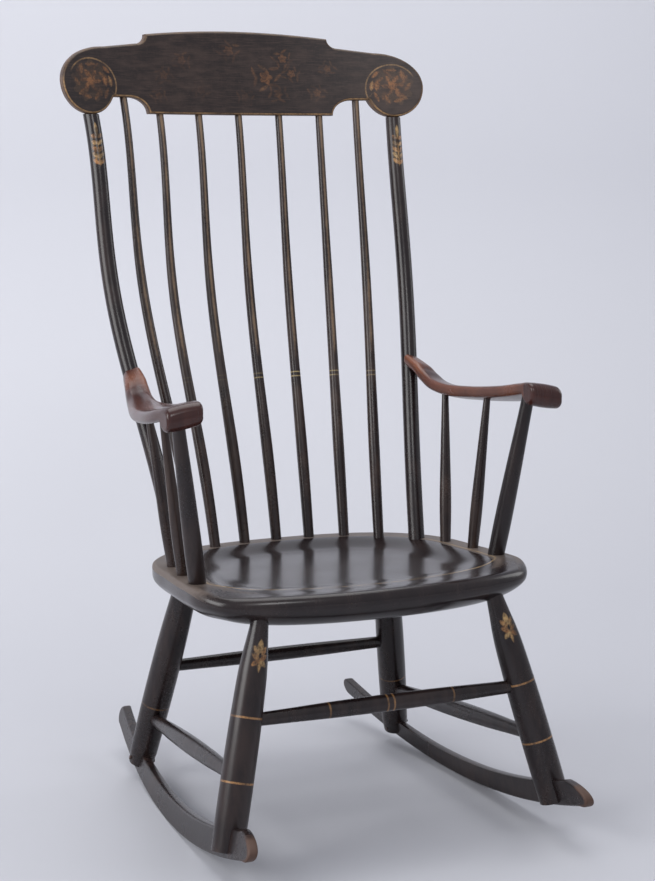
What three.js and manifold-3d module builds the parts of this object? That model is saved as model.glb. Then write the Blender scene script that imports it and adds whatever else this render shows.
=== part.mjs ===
// Boston rocking chair: plank seat, tall bent back, rolled arms, straight legs forked over two rockers.
// Millimetres, Z up, the sitter faces -Y. The origin is on the floor under the middle of the chair.
import * as THREE from "three";
import Module from "manifold-3d";
import { mergeVertices } from "three/addons/utils/BufferGeometryUtils.js";

const wasm = await Module();
wasm.setup();

// Clearance of every joint, and how far a cutting or joining shape runs past a surface
const gap = 0.3;
const overrun = 6;

// Seat: a thick plank, dished, with a flat rim at the sides and back, bevelled underneath
const seatHeight = 344;
const seatHalfWidth = 237;
const seatBack = 146;
const seatFront = 275;
const seatThickness = 42;
const seatEdge = 22;
const seatBevel = 34;
const seatRim = 40;
const dishSlope = 26;
const dishDepth = 11;
const seatFrontDrop = 8;
const seatEdgeRound = 4;
const seatSlopeShare = 0.033;
const seatMiddleShare = -0.2;
const seatSteps = 48;

// Crest rail: a curved, leaning board with a raised middle and a round lobe at each end
const crestLow = 957;
const crestHeight = 123;
const crestHalf = 281;
const crestThickness = 19;
const crestBack = 263;
const crestBow = 52;
const crestLeanShare = 0.165;
const crestStepIn = 138;
const crestCrown = 8.5;
const crestStepRise = 14;
const crestStepRun = 16;
const crestNotchIn = 136;
const notchRun = 30;
const notchRise = 23;
const lobeCentreIn = 45;
const lobeRise = 44;
const lobeDrop = 2;
const lobeInner = 40;
const lobeTop = 50;
const lobeTopRun = 69;
const crestSteps = 24;

// Back posts and spindles
const postTopRadius = 11.2;
const postFootRadius = 11.8;
const postTenonRadius = 6;
const spindleTopRadius = 5.35;
const spindleSwellRadius = 8.35;
const backSocket = 16;
const seatSocket = 18;
const backBow = 18.5;
const backBowOutShare = 0.077;

// Arms and the three supports under each
const armLow = 557.5;
const armRise = 36;
const armThickness = 15;
const armWidth = 59;
const armHandX = 254;
const armHandY = 204;
const armRollRadius = 14.5;
const armTenonRadius = 4.5;
const armTenonLength = 24;
const armSocket = 9;
const armPostTopRadius = 8.4;
const armPostFootRadius = 11.9;
const armPostTenonRadius = 5;
const armSpindleTopRadius = 4.8;
const armSpindleSwellRadius = 8.5;

// Legs and stretchers
const legDatum = 40;
const frontFootX = 232;
const frontFootY = 282.5;
const rearFootX = 202;
const rearFootY = 151;
const frontLegRadius = 21;
const frontLegTopRadius = 11.5;
const frontLegTenonRadius = 9;
const rearLegRadius = 20.8;
const rearLegTopRadius = 16.4;
const rearLegTenonRadius = 10;
const rearLegSink = 20;
const legSocket = 18;
const frontStretcherHeight = 194;
const rearStretcherHeight = 171;
const sideStretcherFrontHeight = 127;
const sideStretcherRearHeight = 91;
const stretcherEndRadius = 8.5;
const frontStretcherRadius = 11.2;
const rearStretcherRadius = 10.2;
const sideStretcherRadius = 12.4;
const stretcherSocket = 11;

// Rockers: thin deep boards that lean with the legs, each with one level facet to rest on
const rockerRadius = 1104;
const rockerTopRadius = 1037;
const rockerTopLowY = 2;
const rockerThickness = 13;
const rockerHeight = 29;
const rockerRestY = -12.5;
const rockerFrontY = 372;
const rockerRearY = 300;
const rockerNoseRun = 44;
const rockerNoseUnder = 20;
const rockerTipShare = 0.42;
const rockerTailRun = 15;
const rockerLeanShare = 0.25;
const rockerFacets = 22;
const pinRadius = 3;
const pinInset = 1;
const pinUp = 15;

// Numbers of sides of the round pieces
const spindleSides = 12;
const postSides = 14;
const legSides = 16;
const endSteps = 4;

// Outline of the seat from the middle of the back round to the middle of the front
const seatOutlineShares = [
  [0, 1, 0], [0.4, 0.945, 0], [0.7, 0.74, 0], [0.885, 0.4, 0], [0.955, 0.08, 0], [0.98, 0, 0.22],
  [1, 0, 0.52], [0.99, 0, 0.7], [0.91, 0, 0.83], [0.75, 0, 0.905], [0.4, 0, 0.975], [0, 0, 1],
];
// Feet of the back spindles and post, then of the arm supports, across and along the seat
const backFootShares = [[0, 0.88], [0.213, 0.86], [0.426, 0.765], [0.595, 0.52], [0.772, 0.24]];
const armFootShares = [[0.87, 0.045], [0.907, 0.289], [0.915, 0.524]];
// Tops of the back spindles and post along the crest rail, and of the arm supports along the arm
const backTopShares = [0, 0.2256, 0.4473, 0.65, 0.842];
const armTopShares = [[0.31, 0.3], [0.62, 0.3], [0.905, 0.42]];
// Tops of the front and rear legs under the seat
const frontLegShares = [0.704, 0.85];
const rearLegShares = [0.652, 0.556];
// Radius along each kind of round piece, from its thin radius (0) to its thick radius (1)
const spindleProfileShares = [
  [0, 0.75], [0.1, 0.9], [0.2, 1], [0.36, 0.72], [0.44, 0.62], [0.51, 0.55], [0.6, 0.47], [0.7, 0.27],
  [0.8, 0.15], [0.89, 0.07], [1, 0],
];
const postProfileShares = [
  [0, 0.9], [0.12, 1], [0.3, 1], [0.42, 0.9], [0.5, 0.8], [0.58, 0.7], [0.68, 0.6], [0.8, 0.4], [0.9, 0.2],
  [0.98, 0], [1, 0],
];
const armSpindleProfileShares = [[0, 0.75], [0.25, 1], [0.6, 0.6], [1, 0]];
const armPostProfileShares = [[0, 0.85], [0.2, 1], [0.5, 0.75], [0.9, 0.1], [1, 0]];
const frontLegProfileShares = [
  [0, 0.92], [0.12, 0.98], [0.3, 1], [0.5, 0.96], [0.66, 0.85], [0.77, 0.73], [0.85, 0.54], [0.92, 0.28],
  [1, 0],
];
const rearLegProfileShares = [[0, 0.7], [0.3, 1], [0.55, 0.98], [0.7, 0.82], [0.85, 0.48], [1, 0.1]];
const evenProfileShares = [[0, 1], [1, 1]];
const stretcherProfileShares = [[0, 0], [0.12, 0.3], [0.3, 0.8], [0.5, 1], [0.7, 0.8], [0.88, 0.3], [1, 0]];
// Arm from the back post (0) to the roll (1): height of its middle line
const armLineShares = [
  [-0.03, 1.1], [0, 1.03], [0.1, 0.71], [0.157, 0.42], [0.246, 0.1], [0.35, 0], [0.54, 0.07], [0.77, 0.28],
  [0.93, 0.52], [1, 0.6],
];
// The same arm from above: sideways place, width, and how far it tilts down towards its outer edge
const armPlanShares = [
  [0.02, 0.02, 0.43, 0.3], [0.139, 0.175, 0.54, 0.28], [0.246, 0.325, 0.61, 0.24], [0.358, 0.5, 0.7, 0.2],
  [0.54, 0.75, 0.83, 0.17], [0.75, 0.94, 0.92, 0.17], [0.86, 0.99, 0.91, 0.17], [1, 0.98, 0.82, 0.17],
  [1.1, 0.97, 0.78, 0.17],
];
// Where the bend of the back is deepest, along each spindle or post
const bowPeakShare = 0.56;

const mix = (a, b, t) => a + (b - a) * t;
const half = (value) => value / 2;
const vector = (x, y, z) => new THREE.Vector3(x, y, z);

// Turn a three.js geometry into a solid that can be cut and joined, and back
function solidOf(geometry) {
  const bare = geometry.index ? geometry.clone() : geometry;
  bare.deleteAttribute("normal");
  bare.deleteAttribute("uv");
  const merged = mergeVertices(bare);
  return new wasm.Manifold(new wasm.Mesh({
    numProp: 3,
    vertProperties: new Float32Array(merged.attributes.position.array),
    triVerts: new Uint32Array(merged.index.array),
  }));
}

function geometryOf(solid) {
  const mesh = solid.getMesh();
  const geometry = new THREE.BufferGeometry();
  geometry.setAttribute("position", new THREE.BufferAttribute(new Float32Array(mesh.vertProperties), 3));
  geometry.setIndex(new THREE.BufferAttribute(new Uint32Array(mesh.triVerts), 1));
  geometry.computeVertexNormals();
  return geometry;
}

// A flat outline pushed out to a thickness, centred on its own plane
function slab(points, thickness) {
  const shape = new THREE.Shape(points.map(([a, b]) => new THREE.Vector2(a, b)));
  const geometry = new THREE.ExtrudeGeometry(shape, { depth: thickness, bevelEnabled: false, steps: 1 });
  return geometry.translate(0, 0, -half(thickness));
}

// Points of an ellipse from one angle to another, in degrees
function ellipse(centre, radii, fromAngle, toAngle, steps) {
  const points = [];
  for (let i = 0; i <= steps; i += 1) {
    const angle = THREE.MathUtils.degToRad(mix(fromAngle, toAngle, i / steps));
    points.push([centre[0] + radii[0] * Math.cos(angle), centre[1] + radii[1] * Math.sin(angle)]);
  }
  return points;
}

// Straight-line reading of a table of shares
function readTable(table, share, column) {
  let i = 1;
  while (i < table.length - 1 && table[i][0] < share) i += 1;
  const [a, b] = [table[i - 1], table[i]];
  return mix(a[column], b[column], (share - a[0]) / (b[0] - a[0]));
}

// A round piece between two points. Its ends run on as tenons, its middle line can bend, and a level
// top is cut square to Z. Growing it by the gap gives the shape of its sockets.
function turned(piece, grow) {
  const axis = piece.to.clone().sub(piece.from);
  const length = axis.length();
  axis.normalize();
  const endAxis = piece.endAxis ?? axis;
  const bow = piece.bow ?? vector(0, 0, 0);
  const peak = Math.log(0.5) / Math.log(bowPeakShare);
  const start = -piece.sinkFrom - grow;
  const profile = [vector(0, start, 0), vector(piece.radii[0] + grow, start, 0)];
  for (const [share, radius] of piece.profile(grow)) profile.push(vector(radius, share * length, 0));
  if (piece.sinkTo > 0) {
    const radius = (piece.tenonRadius || piece.radii[1]) + grow;
    if (piece.tenonRadius) profile.push(vector(radius, length, 0));
    profile.push(vector(radius, length + piece.sinkTo + grow, 0));
    profile.push(vector(0, length + piece.sinkTo + grow, 0));
  } else {
    profile.push(vector(0, length, 0));
  }
  const lathe = new THREE.LatheGeometry(profile.map((p) => new THREE.Vector2(p.x, p.y)), piece.sides);
  const turn = new THREE.Quaternion().setFromUnitVectors(vector(0, 1, 0), axis);
  const position = lathe.attributes.position;
  for (let i = 0; i < position.count; i += 1) {
    const along = position.getY(i);
    const share = THREE.MathUtils.clamp(along / length, 0, 1);
    const wave = Math.sin(Math.PI * share ** peak) ** 2;
    const across = vector(position.getX(i), 0, position.getZ(i)).applyQuaternion(turn);
    const line = piece.from.clone().addScaledVector(axis, Math.min(along, length)).addScaledVector(bow, wave);
    if (piece.levelTop && Math.abs(along - length) < gap) across.addScaledVector(axis, -across.z / axis.z);
    line.addScaledVector(endAxis, Math.max(along - length, 0));
    position.setXYZ(i, line.x + across.x, line.y + across.y, line.z + across.z);
  }
  return solidOf(lathe);
}

// Radii along a round piece, from a table of shares between its thin and its thick radius
function radiiAlong(table, thin, thick) {
  const radiusAt = (share) => mix(thin, thick, readTable(table, share, 1));
  return {
    radii: [radiusAt(0), radiusAt(1)],
    radiusAt,
    profile: (grow) => table.map(([share]) => [share, radiusAt(share) + grow]),
  };
}

const mirrorX = (point) => vector(-point.x, point.y, point.z);

function mirroredPiece(piece) {
  const copy = { ...piece, from: mirrorX(piece.from), to: mirrorX(piece.to) };
  if (piece.bow) copy.bow = mirrorX(piece.bow);
  if (piece.endAxis) copy.endAxis = mirrorX(piece.endAxis);
  return copy;
}

// The left solid is the right one seen in a mirror, with its triangles turned back outwards
function mirroredSolid(solid) {
  const geometry = geometryOf(solid).scale(-1, 1, 1);
  const index = geometry.index;
  for (let i = 0; i < index.count; i += 3) {
    const first = index.getX(i);
    index.setX(i, index.getX(i + 1));
    index.setX(i + 1, first);
  }
  return solidOf(geometry);
}

// Height of the seat's flat rim at a place along the chair
const rimHeight = (y) => seatHeight - seatSlopeShare * y;

// Seat blank: rings of one outline drawn in towards the middle, from the dish over the rim to the underside
function seatBlank() {
  const halfOutline = seatOutlineShares.map(
    ([x, back, front]) => [x * seatHalfWidth, back * seatBack - front * seatFront]);
  const around = halfOutline.concat(halfOutline.slice(1, -1).reverse().map(([x, y]) => [-x, y]));
  const curve = new THREE.CatmullRomCurve3(around.map(([x, y]) => vector(x, y, 0)), true, "centripetal");
  const outline = curve.getPoints(seatSteps).slice(0, seatSteps);
  const middleY = seatMiddleShare * seatFront;
  const { smoothstep } = THREE.MathUtils;
  const frontDrop = (y) => seatFrontDrop * smoothstep(-y, seatFront - seatRim - dishSlope, seatFront);
  const openFront = (y) => smoothstep(-y, seatFront - 2 * seatRim - dishSlope, seatFront - seatRim);
  const topRings = [
    [half(seatHalfWidth), -dishDepth], [seatRim + dishSlope, -dishDepth],
    [seatRim + half(dishSlope), -half(dishDepth)], [seatRim, 0], [seatEdgeRound, 0],
  ];
  const edgeRings = [[0, -seatEdgeRound], [0, -seatEdge]];
  const rings = [...topRings, ...edgeRings, [seatBevel, -seatThickness]];
  const positions = [];
  rings.forEach(([inset, level], ring) => {
    const keep = 1 - inset / seatHalfWidth;
    for (const point of outline) {
      const x = point.x * keep;
      const y = middleY + (point.y - middleY) * keep;
      const onTop = ring < topRings.length && level > -seatEdgeRound;
      const dipped = ring < topRings.length ? level : level - frontDrop(y);
      const height = onTop ? mix(level, seatEdgeRound - dishDepth, openFront(y)) : dipped;
      positions.push(x, y, rimHeight(y) + height);
    }
  });
  const top = positions.length / 3;
  positions.push(0, middleY, rimHeight(middleY) - dishDepth, 0, middleY, rimHeight(middleY) - seatThickness);
  const index = [];
  for (let k = 0; k < seatSteps; k += 1) {
    const next = (k + 1) % seatSteps;
    index.push(top, next, k);
    const last = (rings.length - 1) * seatSteps;
    index.push(top + 1, last + k, last + next);
    for (let r = 0; r < rings.length - 1; r += 1) {
      const [a, b] = [r * seatSteps, (r + 1) * seatSteps];
      index.push(a + k, a + next, b + k, a + next, b + next, b + k);
    }
  }
  const geometry = new THREE.BufferGeometry();
  geometry.setAttribute("position", new THREE.Float32BufferAttribute(positions, 3));
  geometry.setIndex(index);
  return solidOf(geometry);
}

// Half lengths of the crest's raised middle and of its lower edge between the notches
const crestMiddleHalf = crestHalf - crestStepIn;
const crestLowerHalf = crestHalf - crestNotchIn;

// Middle surface of the crest rail, which the spindles and posts run into
const crestMiddleY = (x, z) => crestBack - crestBow * (x / crestHalf) ** 2 + crestLeanShare * (z - crestLow);

// Crest rail: a bent, leaning board cut to its outline
function crestBlank() {
  const lobeX = crestHalf - lobeCentreIn;
  const lobeZ = crestLow + lobeRise;
  const notchZ = crestLow + notchRise;
  const high = crestLow + crestHeight;
  const stepCentre = [crestMiddleHalf + crestStepRun, high - crestCrown];
  const innerAngle = 180 + THREE.MathUtils.radToDeg(Math.asin((lobeZ - notchZ) / (lobeRise + lobeDrop)));
  const crown = [];
  for (let i = endSteps; i > 0; i -= 1) {
    crown.push([crestMiddleHalf * (i / endSteps), high - crestCrown * (i / endSteps) ** 2]);
  }
  const side = [
    ...ellipse([crestLowerHalf + notchRun, crestLow], [notchRun, notchRise], 180, 90, endSteps),
    ...ellipse([lobeX, lobeZ], [lobeInner, lobeRise + lobeDrop], innerAngle, 270, endSteps),
    ...ellipse([lobeX, lobeZ], [lobeCentreIn, lobeRise + lobeDrop], 270, 360, endSteps).slice(1),
    ...ellipse([crestHalf - lobeTopRun, lobeZ], [lobeTopRun, lobeTop], 0, 90, endSteps).slice(1),
    ...ellipse(stepCentre, [crestStepRun, crestStepRise], 270, 180, endSteps).slice(0, -1),
    ...crown,
  ];
  const outline = [[0, crestLow], ...side, [0, high], ...side.map(([x, z]) => [-x, z]).reverse()];
  const board = solidOf(slab(outline, 2 * (crestBow + crestBack)).rotateX(half(Math.PI)));
  const band = [];
  for (const face of [-half(crestThickness), half(crestThickness)]) {
    const edge = [];
    for (let i = 0; i <= crestSteps; i += 1) {
      const x = mix(-1, 1, i / crestSteps) * (crestHalf + overrun);
      edge.push([x, crestMiddleY(x, crestLow) + face]);
    }
    band.push(...(face > 0 ? edge.reverse() : edge));
  }
  const tall = 2 * (crestHeight + overrun);
  const leaning = slab(band, tall).applyMatrix4(new THREE.Matrix4().makeShear(0, 0, 0, 0, 0, crestLeanShare));
  return board.intersect(solidOf(leaning.translate(0, 0, crestLow)));
}

// Back spindles from the middle outwards, and last the post
const backPieces = backFootShares.map(([x, y], i) => {
  const isPost = i === backFootShares.length - 1;
  const foot = vector(x * seatHalfWidth, y * seatBack, rimHeight(y * seatBack));
  const topX = backTopShares[i] * crestHalf;
  const inNotch = topX > crestLowerHalf;
  const topZ = crestLow + (isPost ? -lobeDrop - gap : 0) + (inNotch && !isPost ? notchRise - gap : 0);
  const top = vector(topX, crestMiddleY(topX, topZ), topZ);
  const leanAxis = vector(0, crestLeanShare, 1).normalize();
  const postSize = radiiAlong(postProfileShares, postTopRadius, postFootRadius);
  const size = isPost
    ? { ...postSize, tenonRadius: postTenonRadius, levelTop: true }
    : radiiAlong(spindleProfileShares, spindleTopRadius, spindleSwellRadius);
  return {
    from: foot, to: top, bow: vector(backBowOutShare * foot.x, backBow, 0), endAxis: leanAxis,
    sinkFrom: seatSocket, sinkTo: backSocket, sides: isPost ? postSides : spindleSides, ...size,
  };
});
const backPost = backPieces[backPieces.length - 1];

// Middle line of a bent round piece at a height
function placeAtHeight(piece, z) {
  const peak = Math.log(0.5) / Math.log(bowPeakShare);
  const share = (z - piece.from.z) / (piece.to.z - piece.from.z);
  const place = piece.from.clone().lerp(piece.to, share);
  return piece.bow ? place.addScaledVector(piece.bow, Math.sin(Math.PI * share ** peak) ** 2) : place;
}

// The arm starts at the post, and its places along its length are shares of the way to the roll
const armEnd = placeAtHeight(backPost, armLow + armRise * readTable(armLineShares, 0, 1));
const armPlace = (share) => mix(armEnd.y, -armHandY, share);
const armMiddleZ = (share) => armLow + armRise * readTable(armLineShares, share, 1);
const armMiddleX = (share) => mix(armEnd.x, armHandX, readTable(armPlanShares, share, 1));
const armWidthAt = (share) => armWidth * readTable(armPlanShares, share, 2);
const armTilt = (share, x) => readTable(armPlanShares, share, 3) * (armMiddleX(share) - x);

// Right arm blank: a bent board with a roll at its front, cut to its plan
function armBlank() {
  const linePoints = armLineShares.map(
    ([share, rise]) => vector(armPlace(share), armLow + armRise * rise, 0));
  const line = new THREE.CatmullRomCurve3(linePoints, false, "centripetal");
  const lineSteps = 3 * (armLineShares.length - 1);
  const upper = [];
  const lower = [];
  for (let i = 0; i <= lineSteps; i += 1) {
    const at = line.getPoint(i / lineSteps);
    const along = line.getTangent(i / lineSteps);
    upper.push([at.x + half(armThickness) * along.y, at.y - half(armThickness) * along.x]);
    lower.push([at.x - half(armThickness) * along.y, at.y + half(armThickness) * along.x]);
  }
  const wide = 2 * (armHandX + armWidth);
  const toSide = new THREE.Matrix4().makeBasis(vector(0, 1, 0), vector(0, 0, 1), vector(1, 0, 0));
  const board = solidOf(slab([...upper, ...lower.reverse()].reverse(), wide).applyMatrix4(toSide));
  const rollZ = armMiddleZ(1) + half(armThickness) - armRollRadius;
  const roll = new THREE.CylinderGeometry(armRollRadius, armRollRadius, wide, legSides);
  roll.rotateZ(half(Math.PI)).translate(0, -armHandY, rollZ);
  const planPoints = armPlanShares.map(
    ([share]) => vector(armPlace(share), armMiddleX(share), armWidthAt(share)));
  const plan = new THREE.CatmullRomCurve3(planPoints, false, "centripetal");
  const planSteps = 2 * (armPlanShares.length - 1);
  const inner = [];
  const outer = [];
  for (let i = 0; i <= planSteps; i += 1) {
    const at = plan.getPoint(i / planSteps);
    inner.push([at.y - half(at.z), at.x]);
    outer.push([at.y + half(at.z), at.x]);
  }
  const tall = 2 * (armRise + armRollRadius + armThickness + overrun);
  const cut = solidOf(slab([...inner, ...outer.reverse()], tall).translate(0, 0, armLow));
  const level = geometryOf(board.add(solidOf(roll)).intersect(cut));
  const position = level.attributes.position;
  for (let i = 0; i < position.count; i += 1) {
    const share = (armEnd.y - position.getY(i)) / (armEnd.y + armHandY);
    position.setZ(i, position.getZ(i) + armTilt(share, position.getX(i)));
  }
  return solidOf(level);
}

// Arm supports: two spindles and a stouter post under the hand
const armPieces = armFootShares.map(([x, y], i) => {
  const isPost = i === armFootShares.length - 1;
  const foot = vector(x * seatHalfWidth, -y * seatFront, rimHeight(-y * seatFront));
  const [share, across] = armTopShares[i];
  const topX = armMiddleX(share) + (across - half(1)) * armWidthAt(share);
  const topZ = armMiddleZ(share) - half(armThickness) + armTilt(share, topX);
  const top = vector(topX, armPlace(share), topZ);
  const postSize = radiiAlong(armPostProfileShares, armPostTopRadius, armPostFootRadius);
  const size = isPost
    ? { ...postSize, tenonRadius: armPostTenonRadius }
    : radiiAlong(armSpindleProfileShares, armSpindleTopRadius, armSpindleSwellRadius);
  return {
    from: foot, to: top, sinkFrom: seatSocket, sinkTo: armSocket,
    sides: isPost ? postSides : spindleSides, ...size,
  };
});

// Legs run from the rocker's datum height up to the underside of the seat
const underside = (y) => rimHeight(y) - seatThickness;
const legLine = (shares, isFront) => {
  const y = isFront ? -shares[1] * seatFront : shares[1] * seatBack;
  return vector(shares[0] * seatHalfWidth, y, underside(y));
};
const frontLeg = {
  from: vector(frontFootX, -frontFootY, legDatum), to: legLine(frontLegShares, true),
  sinkFrom: 0, sinkTo: legSocket, sides: legSides, tenonRadius: frontLegTenonRadius,
  ...radiiAlong(frontLegProfileShares, frontLegTopRadius, frontLegRadius),
};
const rearLeg = {
  from: vector(rearFootX, rearFootY, legDatum), to: legLine(rearLegShares, false),
  sinkFrom: rearLegSink, sinkTo: legSocket, sides: legSides, tenonRadius: rearLegTenonRadius,
  ...radiiAlong(rearLegProfileShares, rearLegTopRadius, rearLegRadius),
};

// A stretcher ends inside the legs that it joins
function stretcherBetween(legA, heightA, legB, heightB, thick) {
  const reach = (leg, z) => {
    const place = placeAtHeight(leg, z);
    return { place, radius: leg.radiusAt((z - leg.from.z) / (leg.to.z - leg.from.z)) };
  };
  const a = reach(legA, heightA);
  const b = reach(legB, heightB);
  const way = b.place.clone().sub(a.place).normalize();
  return {
    from: a.place.clone().addScaledVector(way, a.radius), to: b.place.clone().addScaledVector(way, -b.radius),
    sinkFrom: stretcherSocket, sinkTo: stretcherSocket, sides: postSides,
    ...radiiAlong(stretcherProfileShares, stretcherEndRadius, thick),
  };
}
const frontStretcher = stretcherBetween(
  mirroredPiece(frontLeg), frontStretcherHeight, frontLeg, frontStretcherHeight, frontStretcherRadius);
const rearStretcher = stretcherBetween(
  mirroredPiece(rearLeg), rearStretcherHeight, rearLeg, rearStretcherHeight, rearStretcherRadius);
const sideStretcher = stretcherBetween(
  frontLeg, sideStretcherFrontHeight, rearLeg, sideStretcherRearHeight, sideStretcherRadius);

// Rocker boards pass through both leg feet, leaning in at the top
const rockerToeSlope = (rearFootX - frontFootX) / (rearFootY + frontFootY);
const rockerMiddleX = (y, z) =>
  frontFootX + rockerToeSlope * (y + frontFootY) - rockerLeanShare * (z - legDatum);
const drop = (radius, y) => radius - Math.sqrt(radius ** 2 - y ** 2);
const rockerStep = (rockerFrontY + rockerRearY) / rockerFacets;
const rockerLowZ = (y) => drop(rockerRadius, y - rockerRestY) - drop(rockerRadius, half(rockerStep));
const rockerTopZ = (y) => drop(rockerTopRadius, y - rockerTopLowY) + rockerHeight;

function rockerBlank(grow) {
  const front = -rockerFrontY;
  const tailY = rockerRearY - rockerTailRun;
  const underY = front + rockerNoseUnder;
  const low = [];
  for (let i = -rockerFacets; i <= rockerFacets; i += 1) {
    const y = rockerRestY + (i + half(1)) * rockerStep;
    if (y > underY && y < tailY) low.push([y, rockerLowZ(y) - grow]);
  }
  const tailMiddle = half(rockerLowZ(tailY) + rockerTopZ(tailY));
  const tailRise = half(rockerTopZ(tailY) - rockerLowZ(tailY));
  const noseY = front + rockerNoseRun;
  const tipZ = mix(rockerLowZ(underY), rockerTopZ(noseY), rockerTipShare);
  const top = [];
  const topSteps = half(rockerFacets);
  for (let i = 1; i < topSteps; i += 1) {
    const y = mix(tailY, noseY, i / topSteps);
    top.push([y, rockerTopZ(y) + grow]);
  }
  const underRise = tipZ - rockerLowZ(underY);
  const noseRise = rockerTopZ(noseY) - tipZ;
  const outline = [
    ...ellipse([underY, tipZ], [rockerNoseUnder + grow, underRise + grow], 180, 270, endSteps),
    ...low,
    ...ellipse([tailY, tailMiddle], [rockerTailRun + grow, tailRise + grow], -90, 90, 2 * endSteps),
    ...top,
    ...ellipse([noseY, tipZ], [rockerNoseRun + grow, noseRise + grow], 90, 180, endSteps).slice(0, -1),
  ];
  const toSide = new THREE.Matrix4().makeBasis(vector(0, 1, 0), vector(0, 0, 1), vector(1, 0, 0));
  const board = slab(outline, rockerThickness + 2 * grow).applyMatrix4(toSide);
  const position = board.attributes.position;
  for (let i = 0; i < position.count; i += 1) {
    const [y, z] = [position.getY(i), position.getZ(i)];
    position.setX(i, position.getX(i) + rockerMiddleX(y, z));
  }
  return solidOf(board);
}

// A pin through each forked leg end, square to the rocker board
function pinThrough(leg, grow) {
  const y = leg.from.y;
  const z = rockerLowZ(y) + pinUp;
  const middle = vector(rockerMiddleX(y, z), y, z);
  const way = vector(1, -rockerToeSlope, rockerLeanShare).normalize();
  const long = 2 * (leg.radii[0] - pinInset + (grow > 0 ? overrun : 0));
  const pin = new THREE.CylinderGeometry(pinRadius + grow, pinRadius + grow, long, spindleSides);
  pin.applyQuaternion(new THREE.Quaternion().setFromUnitVectors(vector(0, 1, 0), way));
  return solidOf(pin.translate(middle.x, middle.y, middle.z));
}

// Paint and bare wood
const paint = { color: 0x2b2624, roughness: 0.38, metalness: 0 };
const paintWorn = { color: 0x3a322c, roughness: 0.42, metalness: 0 };
const wood = { color: 0x5e3226, roughness: 0.34, metalness: 0 };

const chair = new THREE.Group();

// Each piece becomes a named mesh placed at its own reference point
function addPiece(name, solid, place, look) {
  const geometry = geometryOf(solid).translate(-place.x, -place.y, -place.z);
  const mesh = new THREE.Mesh(geometry, new THREE.MeshStandardMaterial({ ...look, flatShading: true }));
  mesh.name = name;
  mesh.position.copy(place);
  chair.add(mesh);
}

// The thin tenon that runs through a piece with a shoulder, or the piece itself where it has none
function tenonOf(piece) {
  if (!piece.tenonRadius) return piece;
  const even = radiiAlong(evenProfileShares, piece.tenonRadius, piece.tenonRadius);
  return { ...piece, tenonRadius: 0, levelTop: false, ...even };
}

// A straight piece whose shoulder is cut to the shape of what it carries, with its tenon
function shouldered(piece, carried) {
  const space = solidOf(geometryOf(carried).translate(0, 0, -gap));
  return turned({ ...piece, tenonRadius: 0 }, 0).subtract(space).add(turned(tenonOf(piece), 0));
}

const cutAll = (solid, cutters) => cutters.reduce((rest, cutter) => rest.subtract(cutter), solid);
const bothSides = (pieces) => [...pieces, ...pieces.map(mirroredPiece)];
const grown = (piece) => turned(piece, gap);

// Seat with a socket for every post, spindle and leg. A leg meets it with a shoulder and a tenon.
const seatBody = seatBlank();
const seatCutters = [...backPieces.slice(1), ...armPieces, tenonOf(frontLeg), tenonOf(rearLeg)];
const seat = cutAll(seatBody, [grown(backPieces[0]), ...bothSides(seatCutters).map(grown)]);
addPiece("seat", seat, vector(0, 0, seatHeight), paint);

// Crest rail with its row of sockets
const crestSockets = [backPieces[0], ...bothSides(backPieces.slice(1))].map(tenonOf);
const crest = cutAll(crestBlank(), crestSockets.map(grown));
addPiece("crest_rail", crest, vector(0, crestBack, crestLow), paint);

// Seven back spindles, numbered from the left end
const spindleCount = 2 * (backPieces.length - 2) + 1;
for (let i = 0; i < spindleCount; i += 1) {
  const step = i - (spindleCount - 1) / 2;
  const piece = backPieces[Math.abs(step)];
  const placed = step < 0 ? mirroredPiece(piece) : piece;
  addPiece(`back_spindle_${i + 1}`, turned(placed, 0), placed.from, paintWorn);
}

// Right-hand solids, each with a mirrored copy on the left
const tenonShare = armTenonLength / (armEnd.y + armHandY);
const armTenon = {
  from: vector(armMiddleX(tenonShare), armPlace(tenonShare), armMiddleZ(tenonShare)), to: armEnd.clone(),
  sinkFrom: 0, sinkTo: 0, sides: spindleSides,
  ...radiiAlong(evenProfileShares, armTenonRadius, armTenonRadius),
};
const post = turned(backPost, 0).subtract(grown(armTenon));
const armBody = armBlank();
const bareArm = cutAll(armBody, [backPost, ...armPieces.map(tenonOf)].map(grown));
const behindPost = new THREE.BoxGeometry(armWidth, armWidth, armWidth);
behindPost.translate(armEnd.x, armEnd.y + half(armWidth), armEnd.z);
const arm = bareArm.subtract(solidOf(behindPost)).add(turned(armTenon, 0));

const rocker = rockerBlank(0);
const pinHoles = [pinThrough(frontLeg, gap), pinThrough(rearLeg, gap)];
const rockerSpace = rockerBlank(gap);
const legCutters = [frontStretcher, rearStretcher, sideStretcher].map(grown);
const legSolid = (leg) =>
  cutAll(shouldered(leg, seatBody), [rockerSpace, pinThrough(leg, gap), ...legCutters]);

const sides = [
  ["back_post", post, backPost.from, paint],
  ["arm", arm, armEnd, wood],
  ["arm_spindle_rear", turned(armPieces[0], 0), armPieces[0].from, paintWorn],
  ["arm_spindle_front", turned(armPieces[1], 0), armPieces[1].from, paintWorn],
  ["arm_post", shouldered(armPieces[2], armBody), armPieces[2].from, paint],
  ["leg_front", legSolid(frontLeg), frontLeg.from, paint],
  ["leg_rear", legSolid(rearLeg), rearLeg.from, paint],
  ["side_stretcher", turned(sideStretcher, 0), sideStretcher.from, paint],
  ["rocker", cutAll(rocker, pinHoles), vector(0, rockerRestY, 0), paint],
  ["rocker_pin_front", pinThrough(frontLeg, 0), frontLeg.from, paint],
  ["rocker_pin_rear", pinThrough(rearLeg, 0), rearLeg.from, paint],
];
for (const [name, solid, place, look] of sides) {
  addPiece(`${name}_right`, solid, place, look);
  addPiece(`${name}_left`, mirroredSolid(solid), mirrorX(place), look);
}
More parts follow.
